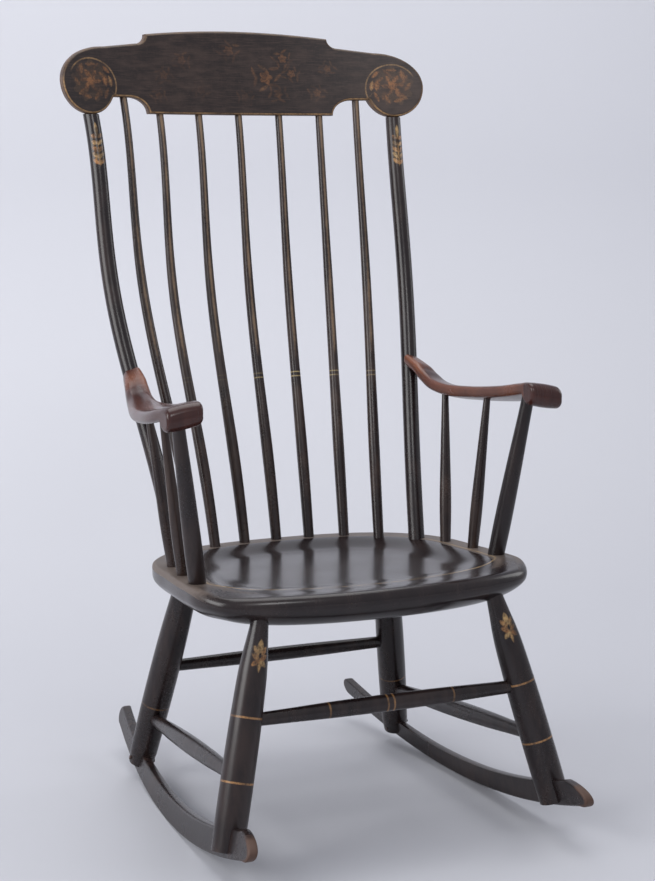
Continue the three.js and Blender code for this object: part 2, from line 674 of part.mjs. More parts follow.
addPiece("front_stretcher", turned(frontStretcher, 0), frontStretcher.from, paint);
addPiece("rear_stretcher", turned(rearStretcher, 0), rearStretcher.from, paint);

// Stand the chair on the floor with the origin under its middle
const box = new THREE.Box3().setFromObject(chair);
const middle = box.getCenter(vector(0, 0, 0));
chair.position.set(-middle.x, -middle.y, -box.min.z);

const model = new THREE.Group();
model.add(chair);
export default model;
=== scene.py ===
# Boston rocking chair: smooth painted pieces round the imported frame.
# Metres, Z up, the sitter faces -Y. The chair's own middle line lies a little behind the origin.
import bpy
import math
import numpy as np
from mathutils import Matrix, Vector


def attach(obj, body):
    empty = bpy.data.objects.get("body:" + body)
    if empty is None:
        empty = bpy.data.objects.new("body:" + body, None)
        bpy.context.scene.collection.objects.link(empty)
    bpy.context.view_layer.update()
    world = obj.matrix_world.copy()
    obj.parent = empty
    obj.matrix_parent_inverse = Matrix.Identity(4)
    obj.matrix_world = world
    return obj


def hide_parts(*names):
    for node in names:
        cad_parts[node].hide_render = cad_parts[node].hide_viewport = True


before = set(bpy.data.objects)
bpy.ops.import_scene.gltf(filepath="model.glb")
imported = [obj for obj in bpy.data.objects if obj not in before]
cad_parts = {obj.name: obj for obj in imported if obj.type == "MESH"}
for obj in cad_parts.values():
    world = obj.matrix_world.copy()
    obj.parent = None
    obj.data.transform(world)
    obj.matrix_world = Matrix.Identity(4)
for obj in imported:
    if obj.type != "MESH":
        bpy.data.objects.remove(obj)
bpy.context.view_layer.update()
chairShift = 0.036  # from the chair's own middle line to the frame's origin, along +Y
gap = 0.0003  # the air round a glued tenon

# The camera, as solved from the photograph
camera = dict(
    place=(-0.9524, -2.2472, 0.8467),
    right=(0.9185, -0.3954, -0.0072),
    up=(0.0612, 0.1241, 0.9904),
    lens=73.48, sensor=36, farthest=60,
)


def newObject(name, data):
    made = bpy.data.objects.new(name, data)
    bpy.context.scene.collection.objects.link(made)
    return made


def setCamera():
    data = bpy.data.cameras.new("camera")
    data.lens, data.sensor_width, data.clip_end = (camera[key] for key in ("lens", "sensor", "farthest"))
    right, up = (Vector(camera[key]).normalized() for key in ("right", "up"))
    back = right.cross(up).normalized()
    turn = Matrix((right, back.cross(right), back)).transposed().to_4x4()
    holder = newObject("camera", data)
    holder.matrix_world = Matrix.Translation(camera["place"]) @ turn
    bpy.context.scene.camera = holder


setCamera()
print("camera placed")


# ---- small number helpers

def mix(a, b, t):
    return a + (b - a) * t


def smoothStep(low, high, value):
    # 0 below low, 1 above high, an S-shaped cubic between
    t = np.clip((value - low) / (high - low), 0, 1)
    return t * t * (3 - 2 * t)


def bell(value, width):
    # 1 at zero, falling off on both sides over the width
    return np.exp(-(value / width) ** 2)


def arch(value, reach):
    # a quarter ellipse: 1 at zero, down to 0 at its reach
    return np.sqrt(np.clip(1 - (value / reach) ** 2, 0, 1))


def roundOff(radius, away):
    # how far a quarter-round edge has fallen back, at a distance from that edge
    return radius - np.sqrt(np.maximum(radius**2 - np.maximum(radius - away, 0) ** 2, 0))


def smoothLine(points, steps, closed=False):
    # Catmull-Rom curve through the points, its knots spaced by the square root of their distances
    p = np.asarray(points, float)
    if closed:
        p = np.vstack([p[-1:], p, p[:2]])
    else:
        p = np.vstack([2 * p[:1] - p[1:2], p, 2 * p[-1:] - p[-2:-1]])
    a, b, c, d = p[:-3], p[1:-2], p[2:-1], p[3:]
    k0, k1, k2 = [np.maximum(np.linalg.norm(v - u, axis=1, keepdims=True), 1e-9) ** 0.5
                  for u, v in ((a, b), (b, c), (c, d))]
    t1 = ((b - a) / k0 - (c - a) / (k0 + k1) + (c - b) / k1) * k1
    t2 = ((c - b) / k1 - (d - b) / (k1 + k2) + (d - c) / k2) * k1
    t = np.linspace(0, 1, steps, endpoint=False)[None, :, None]
    b, c, t1, t2 = b[:, None], c[:, None], t1[:, None], t2[:, None]
    line = b + t1 * t + (3 * (c - b) - 2 * t1 - t2) * t**2 + (2 * (b - c) + t1 + t2) * t**3
    line = line.reshape(-1, p.shape[1])
    return line if closed else np.vstack([line, p[-2:-1]])


def readLine(line, share, column=1):
    # straight-line reading of one column of a table or curve, at shares along its first column
    line = np.asarray(line, float)
    return np.interp(share, np.maximum.accumulate(line[:, 0]), line[:, column])


def distanceTo(points, line, blockSize=4000):
    # least distance from each flat point to a broken line, taken in blocks to save memory
    a, way = line[:-1], np.diff(line, axis=0)
    size = np.maximum((way**2).sum(1), 1e-18)
    out = np.empty(len(points))
    for first in range(0, len(points), blockSize):
        away = points[first:first + blockSize, None, :] - a
        t = np.clip((away * way).sum(2) / size, 0, 1)
        out[first:first + blockSize] = np.sqrt(((away - way * t[..., None]) ** 2).sum(2)).min(1)
    return out


# ---- meshes

sharpAngle = math.radians(38)  # edges steeper than this stay crisp


def quadsOf(here, after):
    # four-sided faces between each row of points and the next
    return np.stack([here[:-1], after[:-1], after[1:], here[1:]], axis=-1).reshape(-1, 4)


def skin(name, node, rings, marks, flat, slot, material):
    # Closed surface through a stack of rings (stations, around, 3), each end drawn to a pole. marks: named
    # numbers per point; flat: the pattern coordinates in metres, with the first column again at the end
    stations, around = rings.shape[:2]
    points = np.vstack([rings.reshape(-1, 3), rings[0].mean(0), rings[-1].mean(0)])
    points[:, 1] += chairShift
    index = np.arange(stations * around).reshape(stations, around)
    after = np.roll(index, -1, axis=1)
    quads = quadsOf(index, after)
    fans = np.vstack([np.stack([after[0], index[0], np.full(around, index.size)], axis=-1),
                      np.stack([index[-1], after[-1], np.full(around, index.size + 1)], axis=-1)])
    lower, upper = flat[:-1], flat[1:]
    quadFlat = np.stack([lower[:, :-1], lower[:, 1:], upper[:, 1:], upper[:, :-1]], axis=-2).reshape(-1, 4, 2)
    fanFlat = np.vstack([np.stack([a, b, np.broadcast_to(row.mean(0), a.shape)], axis=-2) for row, a, b in (
        (flat[0], flat[0][1:], flat[0][:-1]), (flat[-1], flat[-1][:-1], flat[-1][1:]))])
    # the signed volume says whether the faces look inwards
    volume = 0
    for faces, order in ((quads, (0, 1, 2)), (quads, (0, 2, 3)), (fans, (0, 1, 2))):
        a, b, c = (points[faces[:, k]] for k in order)
        volume += (np.cross(a, b) * c).sum()
    if volume < 0:
        quads, fans, quadFlat, fanFlat = (v[:, ::-1] for v in (quads, fans, quadFlat, fanFlat))
    corners = np.concatenate([quads.ravel(), fans.ravel()])
    cornerFlat = np.concatenate([quadFlat.reshape(-1, 2), fanFlat.reshape(-1, 2)])
    starts = np.concatenate([np.arange(len(quads)) * 4, quads.size + np.arange(len(fans)) * 3])
    mesh = bpy.data.meshes.new(name)
    mesh.vertices.add(len(points))
    mesh.vertices.foreach_set("co", points.astype(np.float32).ravel())
    mesh.loops.add(len(corners))
    mesh.loops.foreach_set("vertex_index", corners.astype(np.int32))
    mesh.polygons.add(len(starts))
    mesh.polygons.foreach_set("loop_start", starts.astype(np.int32))
    mesh.update(calc_edges=True)
    layer = mesh.uv_layers.new(name="surface")
    layer.uv.foreach_set("vector", cornerFlat.astype(np.float32).ravel())
    for mark, values in marks.items():
        values = np.broadcast_to(values, (stations, around))
        full = np.concatenate([values.ravel(), [values[0].mean(), values[-1].mean()]])
        mesh.attributes.new(mark, "FLOAT", "POINT").data.foreach_set("value", full.astype(np.float32))
    mesh.polygons.foreach_set("use_smooth", np.ones(len(starts), bool))
    mesh.set_sharp_from_angle(angle=sharpAngle)
    mesh.materials.append(material)
    piece = newObject(name, mesh)
    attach(piece, "root")
    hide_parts(node)


def skinPair(name, node, rings, *rest):
    # the same piece on both sides of the chair
    for side, hand in ((1, "right"), (-1, "left")):
        skin(name + hand.title(), f"{node}_{hand}", rings * (side, 1, 1), *rest)


# ---- materials

def addNode(tree, kind, values=None, **settings):
    node = tree.nodes.new("ShaderNode" + kind)
    for key, value in settings.items():
        setattr(node, key, value)
    for key, value in (values or {}).items():
        socket = node.inputs[key]
        if isinstance(value, bpy.types.NodeSocket):
            tree.links.new(value, socket)
        else:
            socket.default_value = value
    return node


def calc(operation, a, b=0.0, c=0.0):
    # a is a socket, and the new node goes into its tree
    return addNode(a.id_data, "Math", {0: a, 1: b, 2: c}, operation=operation).outputs[0]


def plus(a, b):
    return calc("ADD", a, b)


def times(a, b):
    return calc("MULTIPLY", a, b)


def scaled(a, factor, base):
    return calc("MULTIPLY_ADD", a, factor, base)


def ramp(value, low, high, toLow=0.0, toHigh=1.0):
    # soft step of a value from one level to another
    levels = {"Value": value, "From Min": low, "From Max": high, "To Min": toLow, "To Max": toHigh}
    return addNode(value.id_data, "MapRange", levels, interpolation_type="SMOOTHSTEP").outputs["Result"]


def blendColour(share, a, b):
    a, b = (v if isinstance(v, bpy.types.NodeSocket) else (*v, 1) for v in (a, b))
    return addNode(share.id_data, "Mix", {"Factor": share, 6: a, 7: b}, data_type="RGBA").outputs[2]


def markOf(tree, name):
    return addNode(tree, "Attribute", attribute_name=name).outputs["Fac"]


def noiseOf(where, scale, detail=4, rough=0.55, stretch=(1, 1, 1)):
    moved = addNode(where.id_data, "Mapping", {"Vector": where, "Scale": stretch}).outputs[0]
    values = {"Vector": moved, "Scale": scale, "Detail": detail, "Roughness": rough}
    return addNode(where.id_data, "TexNoise", values).outputs["Fac"]


def newMaterial(name):
    made = bpy.data.materials.new(name)
    made.use_nodes = True
    return made, made.node_tree, made.node_tree.nodes["Principled BSDF"]


def finishSurface(tree, shader, colour, gloss, height, bumpShare, bumpDepth):
    bump = addNode(tree, "Bump", {"Strength": bumpShare, "Distance": bumpDepth, "Height": height}).outputs[0]
    for socket, value in (("Base Color", colour), ("Roughness", gloss), ("Normal", bump)):
        tree.links.new(value, shader.inputs[socket])


paints = {
    # dark and brown: the two tones of the old paint; bare: what shows where it is rubbed through; gold: its
    # lines; streak and stretch: how the tones run; browning and wearing: how much of brown and bare shows
    "legPaint": dict(dark=(0.0095, 0.0050, 0.0055), brown=(0.032, 0.019, 0.0165), bare=(0.120, 0.062, 0.040),
                     gold=(0.430, 0.225, 0.088), stretch=(5, 5, 1), streak=16, browning=0.8, wearing=0.7,
                     rough=0.25),
    "spindlePaint": dict(dark=(0.0160, 0.0084, 0.0076), brown=(0.064, 0.038, 0.028), bare=(0.300, 0.200, 0.118),
                         gold=(0.420, 0.320, 0.150), stretch=(9, 9, 1), streak=9, browning=0.8, wearing=0.8,
                         rough=0.25),
    "seatPaint": dict(dark=(0.0115, 0.0068, 0.0074), brown=(0.038, 0.025, 0.023), bare=(0.165, 0.128, 0.105),
                      gold=(0.420, 0.290, 0.150), stretch=(3, 1, 1), streak=9, browning=0.6, wearing=0.8,
                      rough=0.20),
    "crestPaint": dict(dark=(0.0165, 0.0090, 0.0080), brown=(0.072, 0.044, 0.034), bare=(0.210, 0.115, 0.062),
                       gold=(0.380, 0.225, 0.100), stretch=(1, 1, 2.4), streak=34, browning=0.6, wearing=0.75,
                       rough=0.38, scratched=0.8),
}
gilding = dict(gold=(0.540, 0.350, 0.150), bronze=(0.150, 0.085, 0.042), orange=(0.440, 0.180, 0.060))
oldPaint = dict(
    # the noises of all the paints: scale, detail, roughness
    streaks=(5, 0.6), clouds=(7, 3), fine=(230, 3, 0.6), flecks=(150, 4, 0.7), scratches=(90, 3, 0.6),
    crumbs=(330, 5, 0.75), patches=(38, 4, 0.6),
    # the levels between which each one shows
    brownLevels=(0.66, 1.08), fleckLevels=(0.56, 0.74), scratchLevels=(0.48, 0.68), wearLevels=(0.95, 1.5),
    crumbLevels=(0.40, 0.56), patchLevels=(0.36, 0.6),
    cloudShare=0.6, fleckShare=0.55, rubStreaks=0.6, rubFine=0.35, leafEdge=0.0006, lineEdge=(1.2, 0.7),
    # fine lines along the board from the brush, and a few across from old polish: stretch and share
    scratchLines=(((0.4, 1, 7), 0.6), ((6, 1, 0.8), 0.16)),
    cloudGloss=0.16, wearGloss=0.30, fineGloss=0.05, fineBump=0.08, bumpShare=0.15, bumpDepth=0.0011,
)


def paintMaterial(name, look, lineHalf=0, leafed=False):
    # Old paint: two tones in streaks, rubbed through where the wear mark is high, gold lines where the
    # gild mark is near zero, and bronze ornament where the leaf mark is negative
    p = oldPaint
    made, tree, shader = newMaterial(name)
    place = addNode(tree, "TexCoord").outputs["Object"]
    streaks = noiseOf(place, look["streak"], *p["streaks"], look["stretch"])
    clouds, fine = noiseOf(place, *p["clouds"]), noiseOf(place, *p["fine"])
    brownness = ramp(plus(streaks, times(clouds, p["cloudShare"])), *p["brownLevels"])
    colour = blendColour(times(brownness, look["browning"]), look["dark"], look["brown"])
    flecks = ramp(noiseOf(place, *p["flecks"], look["stretch"]), *p["fleckLevels"], 0, p["fleckShare"])
    colour = blendColour(flecks, colour, look["brown"])
    for stretch, share in p["scratchLines"] if "scratched" in look else ():
        lines = noiseOf(place, *p["scratches"], stretch)
        colour = blendColour(ramp(lines, *p["scratchLevels"], 0, look["scratched"] * share), colour, look["brown"])
    rubbed = scaled(streaks, p["rubStreaks"], times(fine, p["rubFine"]))
    wear = ramp(plus(markOf(tree, "wear"), rubbed), *p["wearLevels"])
    colour = blendColour(times(wear, look["wearing"]), colour, look["bare"])
    crumbs = ramp(noiseOf(place, *p["crumbs"]), *p["crumbLevels"])
    patches = ramp(noiseOf(place, *p["patches"]), *p["patchLevels"])

    def flaked(shape, mark, first, firstLoss, second, secondLoss):
        # a drawn shape, less what has flaked off it
        shape = times(shape, times(markOf(tree, mark), scaled(first, firstLoss, 1 - firstLoss)))
        return times(shape, scaled(second, secondLoss, 1 - secondLoss))

    if lineHalf:
        line = ramp(calc("ABSOLUTE", markOf(tree, "gild")), *(lineHalf * edge for edge in p["lineEdge"]))
        colour = blendColour(flaked(line, "gildShare", crumbs, 0.5, patches, 0.65), colour, look["gold"])
    if leafed:
        inside = ramp(markOf(tree, "leaf"), p["leafEdge"], -p["leafEdge"])
        tone = plus(markOf(tree, "leafTone"), scaled(fine, 0.5, -0.25))
        leafColour = blendColour(ramp(tone, 0.0, 0.5), gilding["bronze"], gilding["orange"])
        leafColour = blendColour(ramp(tone, 0.5, 1.0), leafColour, gilding["gold"])
        colour = blendColour(flaked(inside, "leafShare", patches, 0.75, crumbs, 0.65), colour, leafColour)
    gloss = scaled(clouds, p["cloudGloss"], look["rough"] - p["cloudGloss"] / 2)
    gloss = plus(plus(gloss, times(wear, p["wearGloss"])), times(fine, p["fineGloss"]))
    height = plus(times(fine, p["fineBump"]), streaks)
    finishSurface(tree, shader, colour, gloss, height, p["bumpShare"], p["bumpDepth"])
    return made


armWood = dict(
    dark=(0.032, 0.0095, 0.0085), red=(0.100, 0.029, 0.019), orange=(0.205, 0.073, 0.037),
    poreTone=(0.024, 0.010, 0.008), rough=0.21, poreShare=0.25, dimShare=0.75,
    grain=(60, 6, 0.62, (1, 0.09, 1)), pores=(420, 3, 0.6, (1, 0.05, 1)), clouds=(16, 4),
    toneLevels=(0.55, 1.15), brightLevels=(0.45, 1.25), dimLevels=(0.5, 1.3), poreLevels=(0.55, 0.75),
    # how much the clouds sway the tone, the pale patch with the painted light on the inner side, and the worn
    # veils
    cloudTone=0.7, cloudBright=0.5, cloudDim=0.6,
    cloudGloss=0.18, poreGloss=0.08, poreBump=0.4, bumpShare=0.12, bumpDepth=0.0008,
)


def woodMaterial():
    # Red-brown wood: grain along the arm in its own flat coordinates, darker worn veils, an orange patch at
    # the post, and the same orange painted on the inner side as painted light, for light falling on it from the
    # side
    w = armWood
    made, tree, shader = newMaterial("armWood")
    flat = addNode(tree, "UVMap", uv_map="surface").outputs[0]
    place = addNode(tree, "TexCoord").outputs["Object"]
    grain, pores, clouds = noiseOf(flat, *w["grain"]), noiseOf(flat, *w["pores"]), noiseOf(place, *w["clouds"])
    tone = ramp(plus(grain, times(clouds, w["cloudTone"])), *w["toneLevels"])
    colour = blendColour(tone, w["dark"], w["red"])
    bright = ramp(plus(markOf(tree, "bright"), times(clouds, w["cloudBright"])), *w["brightLevels"])
    # orange: the wood's pale patch at the post, and painted light on the inner side
    colour = blendColour(bright, colour, w["orange"])
    dim = ramp(plus(markOf(tree, "wear"), times(clouds, w["cloudDim"])), *w["dimLevels"])
    colour = blendColour(times(dim, w["dimShare"]), colour, w["dark"])
    colour = blendColour(ramp(pores, *w["poreLevels"], 0, w["poreShare"]), colour, w["poreTone"])
    gloss = plus(scaled(clouds, w["cloudGloss"], w["rough"] - w["cloudGloss"] / 2), times(pores, w["poreGloss"]))
    height = plus(times(pores, w["poreBump"]), grain)
    finishSurface(tree, shader, colour, gloss, height, w["bumpShare"], w["bumpDepth"])
    return made


# the number after the paint is half the width of its gold lines
legPaint = paintMaterial("legPaint", paints["legPaint"], 0.0013, True)
spindlePaint = paintMaterial("spindlePaint", paints["spindlePaint"], 0.0009)
seatPaint = paintMaterial("seatPaint", paints["seatPaint"], 0.0012)
crestPaint = paintMaterial("crestPaint", paints["crestPaint"], 0.0011, True)
rockerPaint = paintMaterial("rockerPaint", paints["legPaint"])
armMaterial = woodMaterial()
print("materials made")


# ---- seat

noMark = 0.05  # a distance at which no gold line and no leaf shows
seat = dict(
    height=0.344, halfWidth=0.237, back=0.146, front=0.275, thickness=0.042, frontDrop=0.008, slope=0.033,
    middle=-0.2, dishFrom=0.035, dishTo=0.094, dishDepth=0.0105, sideRound=0.006, frontRound=0.013,
    # depths from the front edge: where the dish opens and where the edge starts to drop
    openFrom=0.106, openTo=0.040, dropFrom=0.066,
    # the low roll at the front: its drop, its further fall, and the insets between which it falls
    rollDrop=0.0065, rollFall=0.0035, rollInsets=(0.020, 0.075), roundChange=(0.15, 0.25),
    topRows=((0.09, 24), (0.022, 70)), edgeRows=14,
    outline=[(0, 1, 0), (0.4, 0.945, 0), (0.7, 0.74, 0), (0.885, 0.4, 0), (0.955, 0.08, 0), (0.98, 0, 0.22),
             (1, 0, 0.52), (0.99, 0, 0.7), (0.91, 0, 0.83), (0.75, 0, 0.905), (0.4, 0, 0.975), (0, 0, 1)],
    # the underside's profile from the edge inwards: inset, level
    under=[(0, -0.0165), (0.0012, -0.0215), (0.0075, -0.029), (0.020, -0.0375), (0.032, -0.0415),
           (0.046, -0.042), (0.12, -0.042)],
    # wear: how strong, then over what width or between what places
    baseWear=0.05, edgeWear=(0.6, 0.005), edgeBack=(0.26, 0.12), dishWear=(0.45, 0.006), rimWear=0.85,
    rimEdge=(0.012, -0.004), cornerWear=0.15, cornerX=(0.12, 0.21), cornerY=(0.12, 0.24), fadeTo=0.3,
    fadeY=(0.13, 0.24), scuffs=0.30, scuffInsets=(0.05, 0.09),
    # the gold line lies further in at the front than at the sides, and is lost at the back
    goldInsets=(0.032, 0.060), goldTurn=(0.17, 0.28), goldLost=(0.11, -0.06), goldSpread=0.8,
)


def rimHeight(y):
    return seat["height"] - seat["slope"] * y


def buildSeat():
    # One outline drawn in towards a middle point. The height follows the distance from the edge: an S-shaped
    # dish inside a flat rim that fades to a low roll at the front, a quarter-round edge and a curved bevel below
    s = seat
    shares = np.array(s["outline"])
    half = np.stack([shares[:, 0] * s["halfWidth"], shares[:, 1] * s["back"] - shares[:, 2] * s["front"]], axis=1)
    outline = smoothLine(np.vstack([half, half[1:-1][::-1] * (-1, 1)]), 12, closed=True)
    outX, outY = outline[None, :, 0], outline[None, :, 1]
    r = mix(s["sideRound"], s["frontRound"], smoothStep(*s["roundChange"], -outY))
    (closer, farRows), (closest, nearRows) = s["topRows"]
    top = np.concatenate([np.linspace(s["halfWidth"], closer, farRows, endpoint=False),
                          np.linspace(closer, closest, nearRows, endpoint=False)])[:, None] + 0 * outX
    top = np.concatenate([top, mix(closest, r, np.linspace(0, 1, s["edgeRows"], endpoint=False)[:, None])])
    turn = np.linspace(0, math.pi / 2, 12)[:, None]
    under = smoothLine(s["under"], 7)
    middleY = s["middle"] * s["front"]

    def placeAt(inset):
        keep = 1 - inset / s["halfWidth"]
        return outX * keep, middleY + (outY - middleY) * keep

    def topLevel(inset, y):
        # at the front the surface rises a little from the dish before it rolls over
        openFront = smoothStep(s["front"] - s["openFrom"], s["front"] - s["openTo"], -y)
        dish = -s["dishDepth"] * smoothStep(s["dishFrom"], s["dishTo"], inset)
        roll = -s["rollDrop"] - s["rollFall"] * smoothStep(*s["rollInsets"], inset)
        return mix(dish, roll, openFront)

    cornerZ = topLevel(r, placeAt(r)[1]) - r * (1 - np.cos(turn))
    underZ = under[:, 1:] - s["frontDrop"] * smoothStep(s["front"] - s["dropFrom"], s["front"], -outY)
    fall = np.linspace(0, 1, 7)[1:-1, None]
    inset = np.concatenate([top, r * (1 - np.sin(turn)), 0 * fall + 0 * outX, under[:, :1] + 0 * outX])
    level = np.concatenate([topLevel(top, placeAt(top)[1]), cornerZ, mix(cornerZ[-1:], underZ[:1], fall), underZ])
    x, y = placeAt(inset)
    rings = np.stack([x, y, rimHeight(y) + level], axis=-1)
    isTop = (np.arange(len(inset)) < len(top) + len(turn))[:, None]
    strength, width = s["edgeWear"]
    wear = s["baseWear"] + strength * bell(inset - r * 0.7, width) * smoothStep(*s["edgeBack"], -outY)
    strength, width = s["dishWear"]
    rim = s["rimWear"] * smoothStep(*(s["dishFrom"] + more for more in s["rimEdge"]), inset)
    rim = rim + strength * bell(inset - s["dishFrom"], width)
    wear = wear + rim * mix(1, s["fadeTo"], smoothStep(*s["fadeY"], -y))
    wear = wear + s["cornerWear"] * smoothStep(*s["cornerX"], np.abs(x)) * smoothStep(*s["cornerY"], -y)
    wear = np.where(isTop, wear + s["scuffs"] * smoothStep(*s["scuffInsets"], inset), 0)
    stripe = mix(*s["goldInsets"], smoothStep(*s["goldTurn"], -outY))
    gild = np.where(isTop, (inset - stripe) * s["goldSpread"], noMark)
    flat = np.concatenate([rings, rings[:, :1]], axis=1)[..., :2]
    marks = dict(wear=wear, gild=gild, gildShare=smoothStep(*s["goldLost"], y))
    skin("seatPlank", "seat", rings, marks, flat, "seat_paint", seatPaint)


buildSeat()
print("seat made")


# ---- turned pieces

bendPeak = 0.56  # the share of its height at which the back bows most
ringRows = np.linspace(-0.004, 0.004, 9)  # extra rows of points round each gold ring


def bend(share):
    # a squared sine, drawn so that its peak lies at bendPeak
    return np.sin(math.pi * share ** (math.log(0.5) / math.log(bendPeak))) ** 2


def turned(start, end, table, thin, thick, sinks, bow=(0, 0, 0), endAxis=None, sides=40, rows=150, golds=(),
           levelTop=False):
    # A circle carried along a line: the radius follows the table, the middle line bends, and the ends run on
    # into their sockets. share: how far along; facing: how far each side looks to the front; flat: the pattern
    start, end, bow = (np.asarray(v, float) for v in (start, end, bow))
    length = np.linalg.norm(end - start)
    axis = (end - start) / length
    endAxis = axis if endAxis is None else endAxis
    near = [g + d for g in golds for d in ringRows / length]
    share = np.unique(np.concatenate([np.linspace(0, 1, rows), [n for n in near if 0 < n < 1]]))
    radius = mix(thin, thick, readLine(smoothLine(table, 12), share))
    radius = np.concatenate([radius[:1], radius, radius[-1:]])[:, None]
    share = np.concatenate([[-sinks[0] / length], share, [1 + sinks[1] / length]])[:, None]
    side = np.cross(axis, (0, 1.0, 0)) if abs(axis[1]) < 0.9 else np.cross(axis, (0, 0, 1.0))
    side /= np.linalg.norm(side)
    other = np.cross(axis, side)
    angle = np.linspace(0, 2 * math.pi, sides, endpoint=False)
    centre = start + axis * np.minimum(share, 1) * length + bow * bend(np.clip(share, 0, 1))
    centre = centre + endAxis * np.maximum(share - 1, 0) * length
    across = np.cos(angle)[:, None] * side + np.sin(angle)[:, None] * other
    across = across * radius[:, :, None]
    if levelTop:
        across = across - smoothStep(0.97, 1, share)[:, :, None] * axis * (across[..., 2:3] / axis[2])
    u = np.linspace(0, 2 * math.pi, sides + 1) * max(thin, thick)
    return dict(rings=centre[:, None, :] + across, share=share, angle=angle[None, :], radius=radius, length=length,
                facing=-(np.cos(angle) * side[1] + np.sin(angle) * other[1])[None, :],
                flat=np.stack(np.broadcast_arrays(u, share * length), axis=-1))


def ringMarks(made, places, strength, base, endWear=0.3, endRun=0.05):
    # distance to the nearest gold ring, and wear that grows at both ends
    share = made["share"]
    away = np.full(share.shape, 1.0)
    for place in places:
        away = np.minimum(away, np.abs(share - place) * made["length"])
    wear = base + endWear * (bell(share, endRun) + bell(1 - share, endRun))
    return dict(gild=away, gildShare=strength, wear=wear, leaf=noMark, leafShare=0, leafTone=0)


def shareAt(start, end, z):
    return (z - start[2]) / (end[2] - start[2])


# each leaf of an ornament: its middle across and along, its lean, its half length and half width
fanLeaves = [(0.0, 0.80, 0.0, 0.20, 0.30), (0.0, 0.20, 0.0, 0.18, 0.16)]
fanLeaves += [(side * 0.42, place, side * lean, 0.17, 0.24) for side in (-1, 1)
              for place, lean in ((0.66, 0.55), (0.46, 0.95), (0.30, 2.35))]
featherLeaves = [(0.0, 0.88, 0.0, 0.17, 0.27), (0.0, 0.3, 0.0, 0.27, 0.12)]
featherLeaves += [(side * 0.5, 0.13 + 0.15 * k, side * 0.75, 0.112 - 0.007 * k, 0.27)
                  for k in range(5) for side in (-1, 1)]


def leafGilt(made, marks, start, end, look, leaves):
    # A spray on the front of a turned piece, each leaf a lens along its own line: a bud over pairs of
    # slanted leaflets on a stem, or a fan of leaves round one point
    angle = made["angle"]
    across = np.angle(np.exp(1j * (angle - angle[0, made["facing"].argmax()]))) * made["radius"]
    along = (made["share"] - shareAt(start, end, look["leafLow"])) * made["length"]
    tall, half = look["leafHigh"] - look["leafLow"], look["leafHalf"]
    leaf = np.full(across.shape, noMark)
    tone = np.zeros(across.shape)
    for k, (out, place, tilt, long, wide) in enumerate(leaves):
        x, y = across - out * half, along - place * tall
        x, y = x * math.cos(tilt) - y * math.sin(tilt), x * math.sin(tilt) + y * math.cos(tilt)
        wide = wide * half
        shape = (np.abs(x) / wide + (y / (long * tall)) ** 2 - 1) * wide * 0.6
        tone = np.where(shape < leaf, 0.95 - 0.1 * (k % 4), tone)
        leaf = np.minimum(leaf, shape)
    marks.update(leaf=leaf, leafShare=look["leafShare"], leafTone=tone)


# ---- back

crest = dict(
    low=0.957, height=0.123, half=0.281, thickness=0.019, back=0.263, bow=0.052, lean=0.165, edgeRound=0.0045,
    # the raised middle's end and hollow step, the cut below the shoulder, and the lobe's centre and reaches;
    # each In is measured from the rail's end
    stepIn=0.138, crown=0.0085, stepRise=0.014, stepRun=0.016, notchIn=0.136, notchRun=0.030, notchRise=0.023,
    lobeIn=0.045, lobeRise=0.044, lobeDrop=0.002, lobeInner=0.040, lobeTop=0.050, lobeTopRun=0.069,
)
leanAxis = np.array([0, crest["lean"], 1.0]) / math.hypot(crest["lean"], 1)


def crestMiddleY(x, z):
    return crest["back"] - crest["bow"] * (x / crest["half"]) ** 2 + crest["lean"] * (z - crest["low"])


backSpindles = dict(
    topRadius=0.00535, swell=0.00835, sinks=(0.018, 0.016), bow=0.0185, bowOut=0.077,
    table=[(0, 0.75), (0.1, 0.9), (0.2, 1), (0.36, 0.72), (0.44, 0.62), (0.51, 0.55), (0.6, 0.47), (0.7, 0.27),
           (0.8, 0.15), (0.89, 0.07), (1, 0)],
    # feet as shares of the seat's half width and back depth, tops as shares of the crest's half width
    feet=[(0, 0.88), (0.213, 0.86), (0.426, 0.765), (0.595, 0.52)],
    tops=[0, 0.2256, 0.4473, 0.65],
    goldHeights=(0.5715, 0.5775), goldShares=(0.05, 0.08, 0.12, 0.8, 1.0, 1.0, 0.45), wear=0.10,
    stripeBelow=0.02, stripeAbove=0.10,
)
backPosts = dict(
    topRadius=0.0112, footRadius=0.0118, sinks=(0.018, 0.0), foot=(0.772, 0.24), top=0.842,
    table=[(0, 0.9), (0.12, 1), (0.3, 1), (0.42, 0.9), (0.5, 0.8), (0.58, 0.7), (0.68, 0.6), (0.8, 0.4),
           (0.9, 0.2), (0.98, 0), (1, 0)],
    tenon=0.006, tenonRun=0.016, topEase=0.86, easeRise=0.0008, wear=0.18,
    leafLow=0.878, leafHigh=0.940, leafHalf=0.0100, leafShare=1.0,
)


def backLine(foot, topShare, isPost=False):
    # foot, top and bow of a post or spindle of the back
    footY = foot[1] * seat["back"]
    start = np.array([foot[0] * seat["halfWidth"], footY, rimHeight(footY)])
    topX, topZ = topShare * crest["half"], crest["low"]
    if isPost:
        topZ -= crest["lobeDrop"] + gap
    elif topX > crest["half"] - crest["notchIn"]:
        topZ += crest["notchRise"] - gap
    end = np.array([topX, crestMiddleY(topX, topZ), topZ])
    return start, end, np.array([backSpindles["bowOut"] * start[0], backSpindles["bow"], 0])


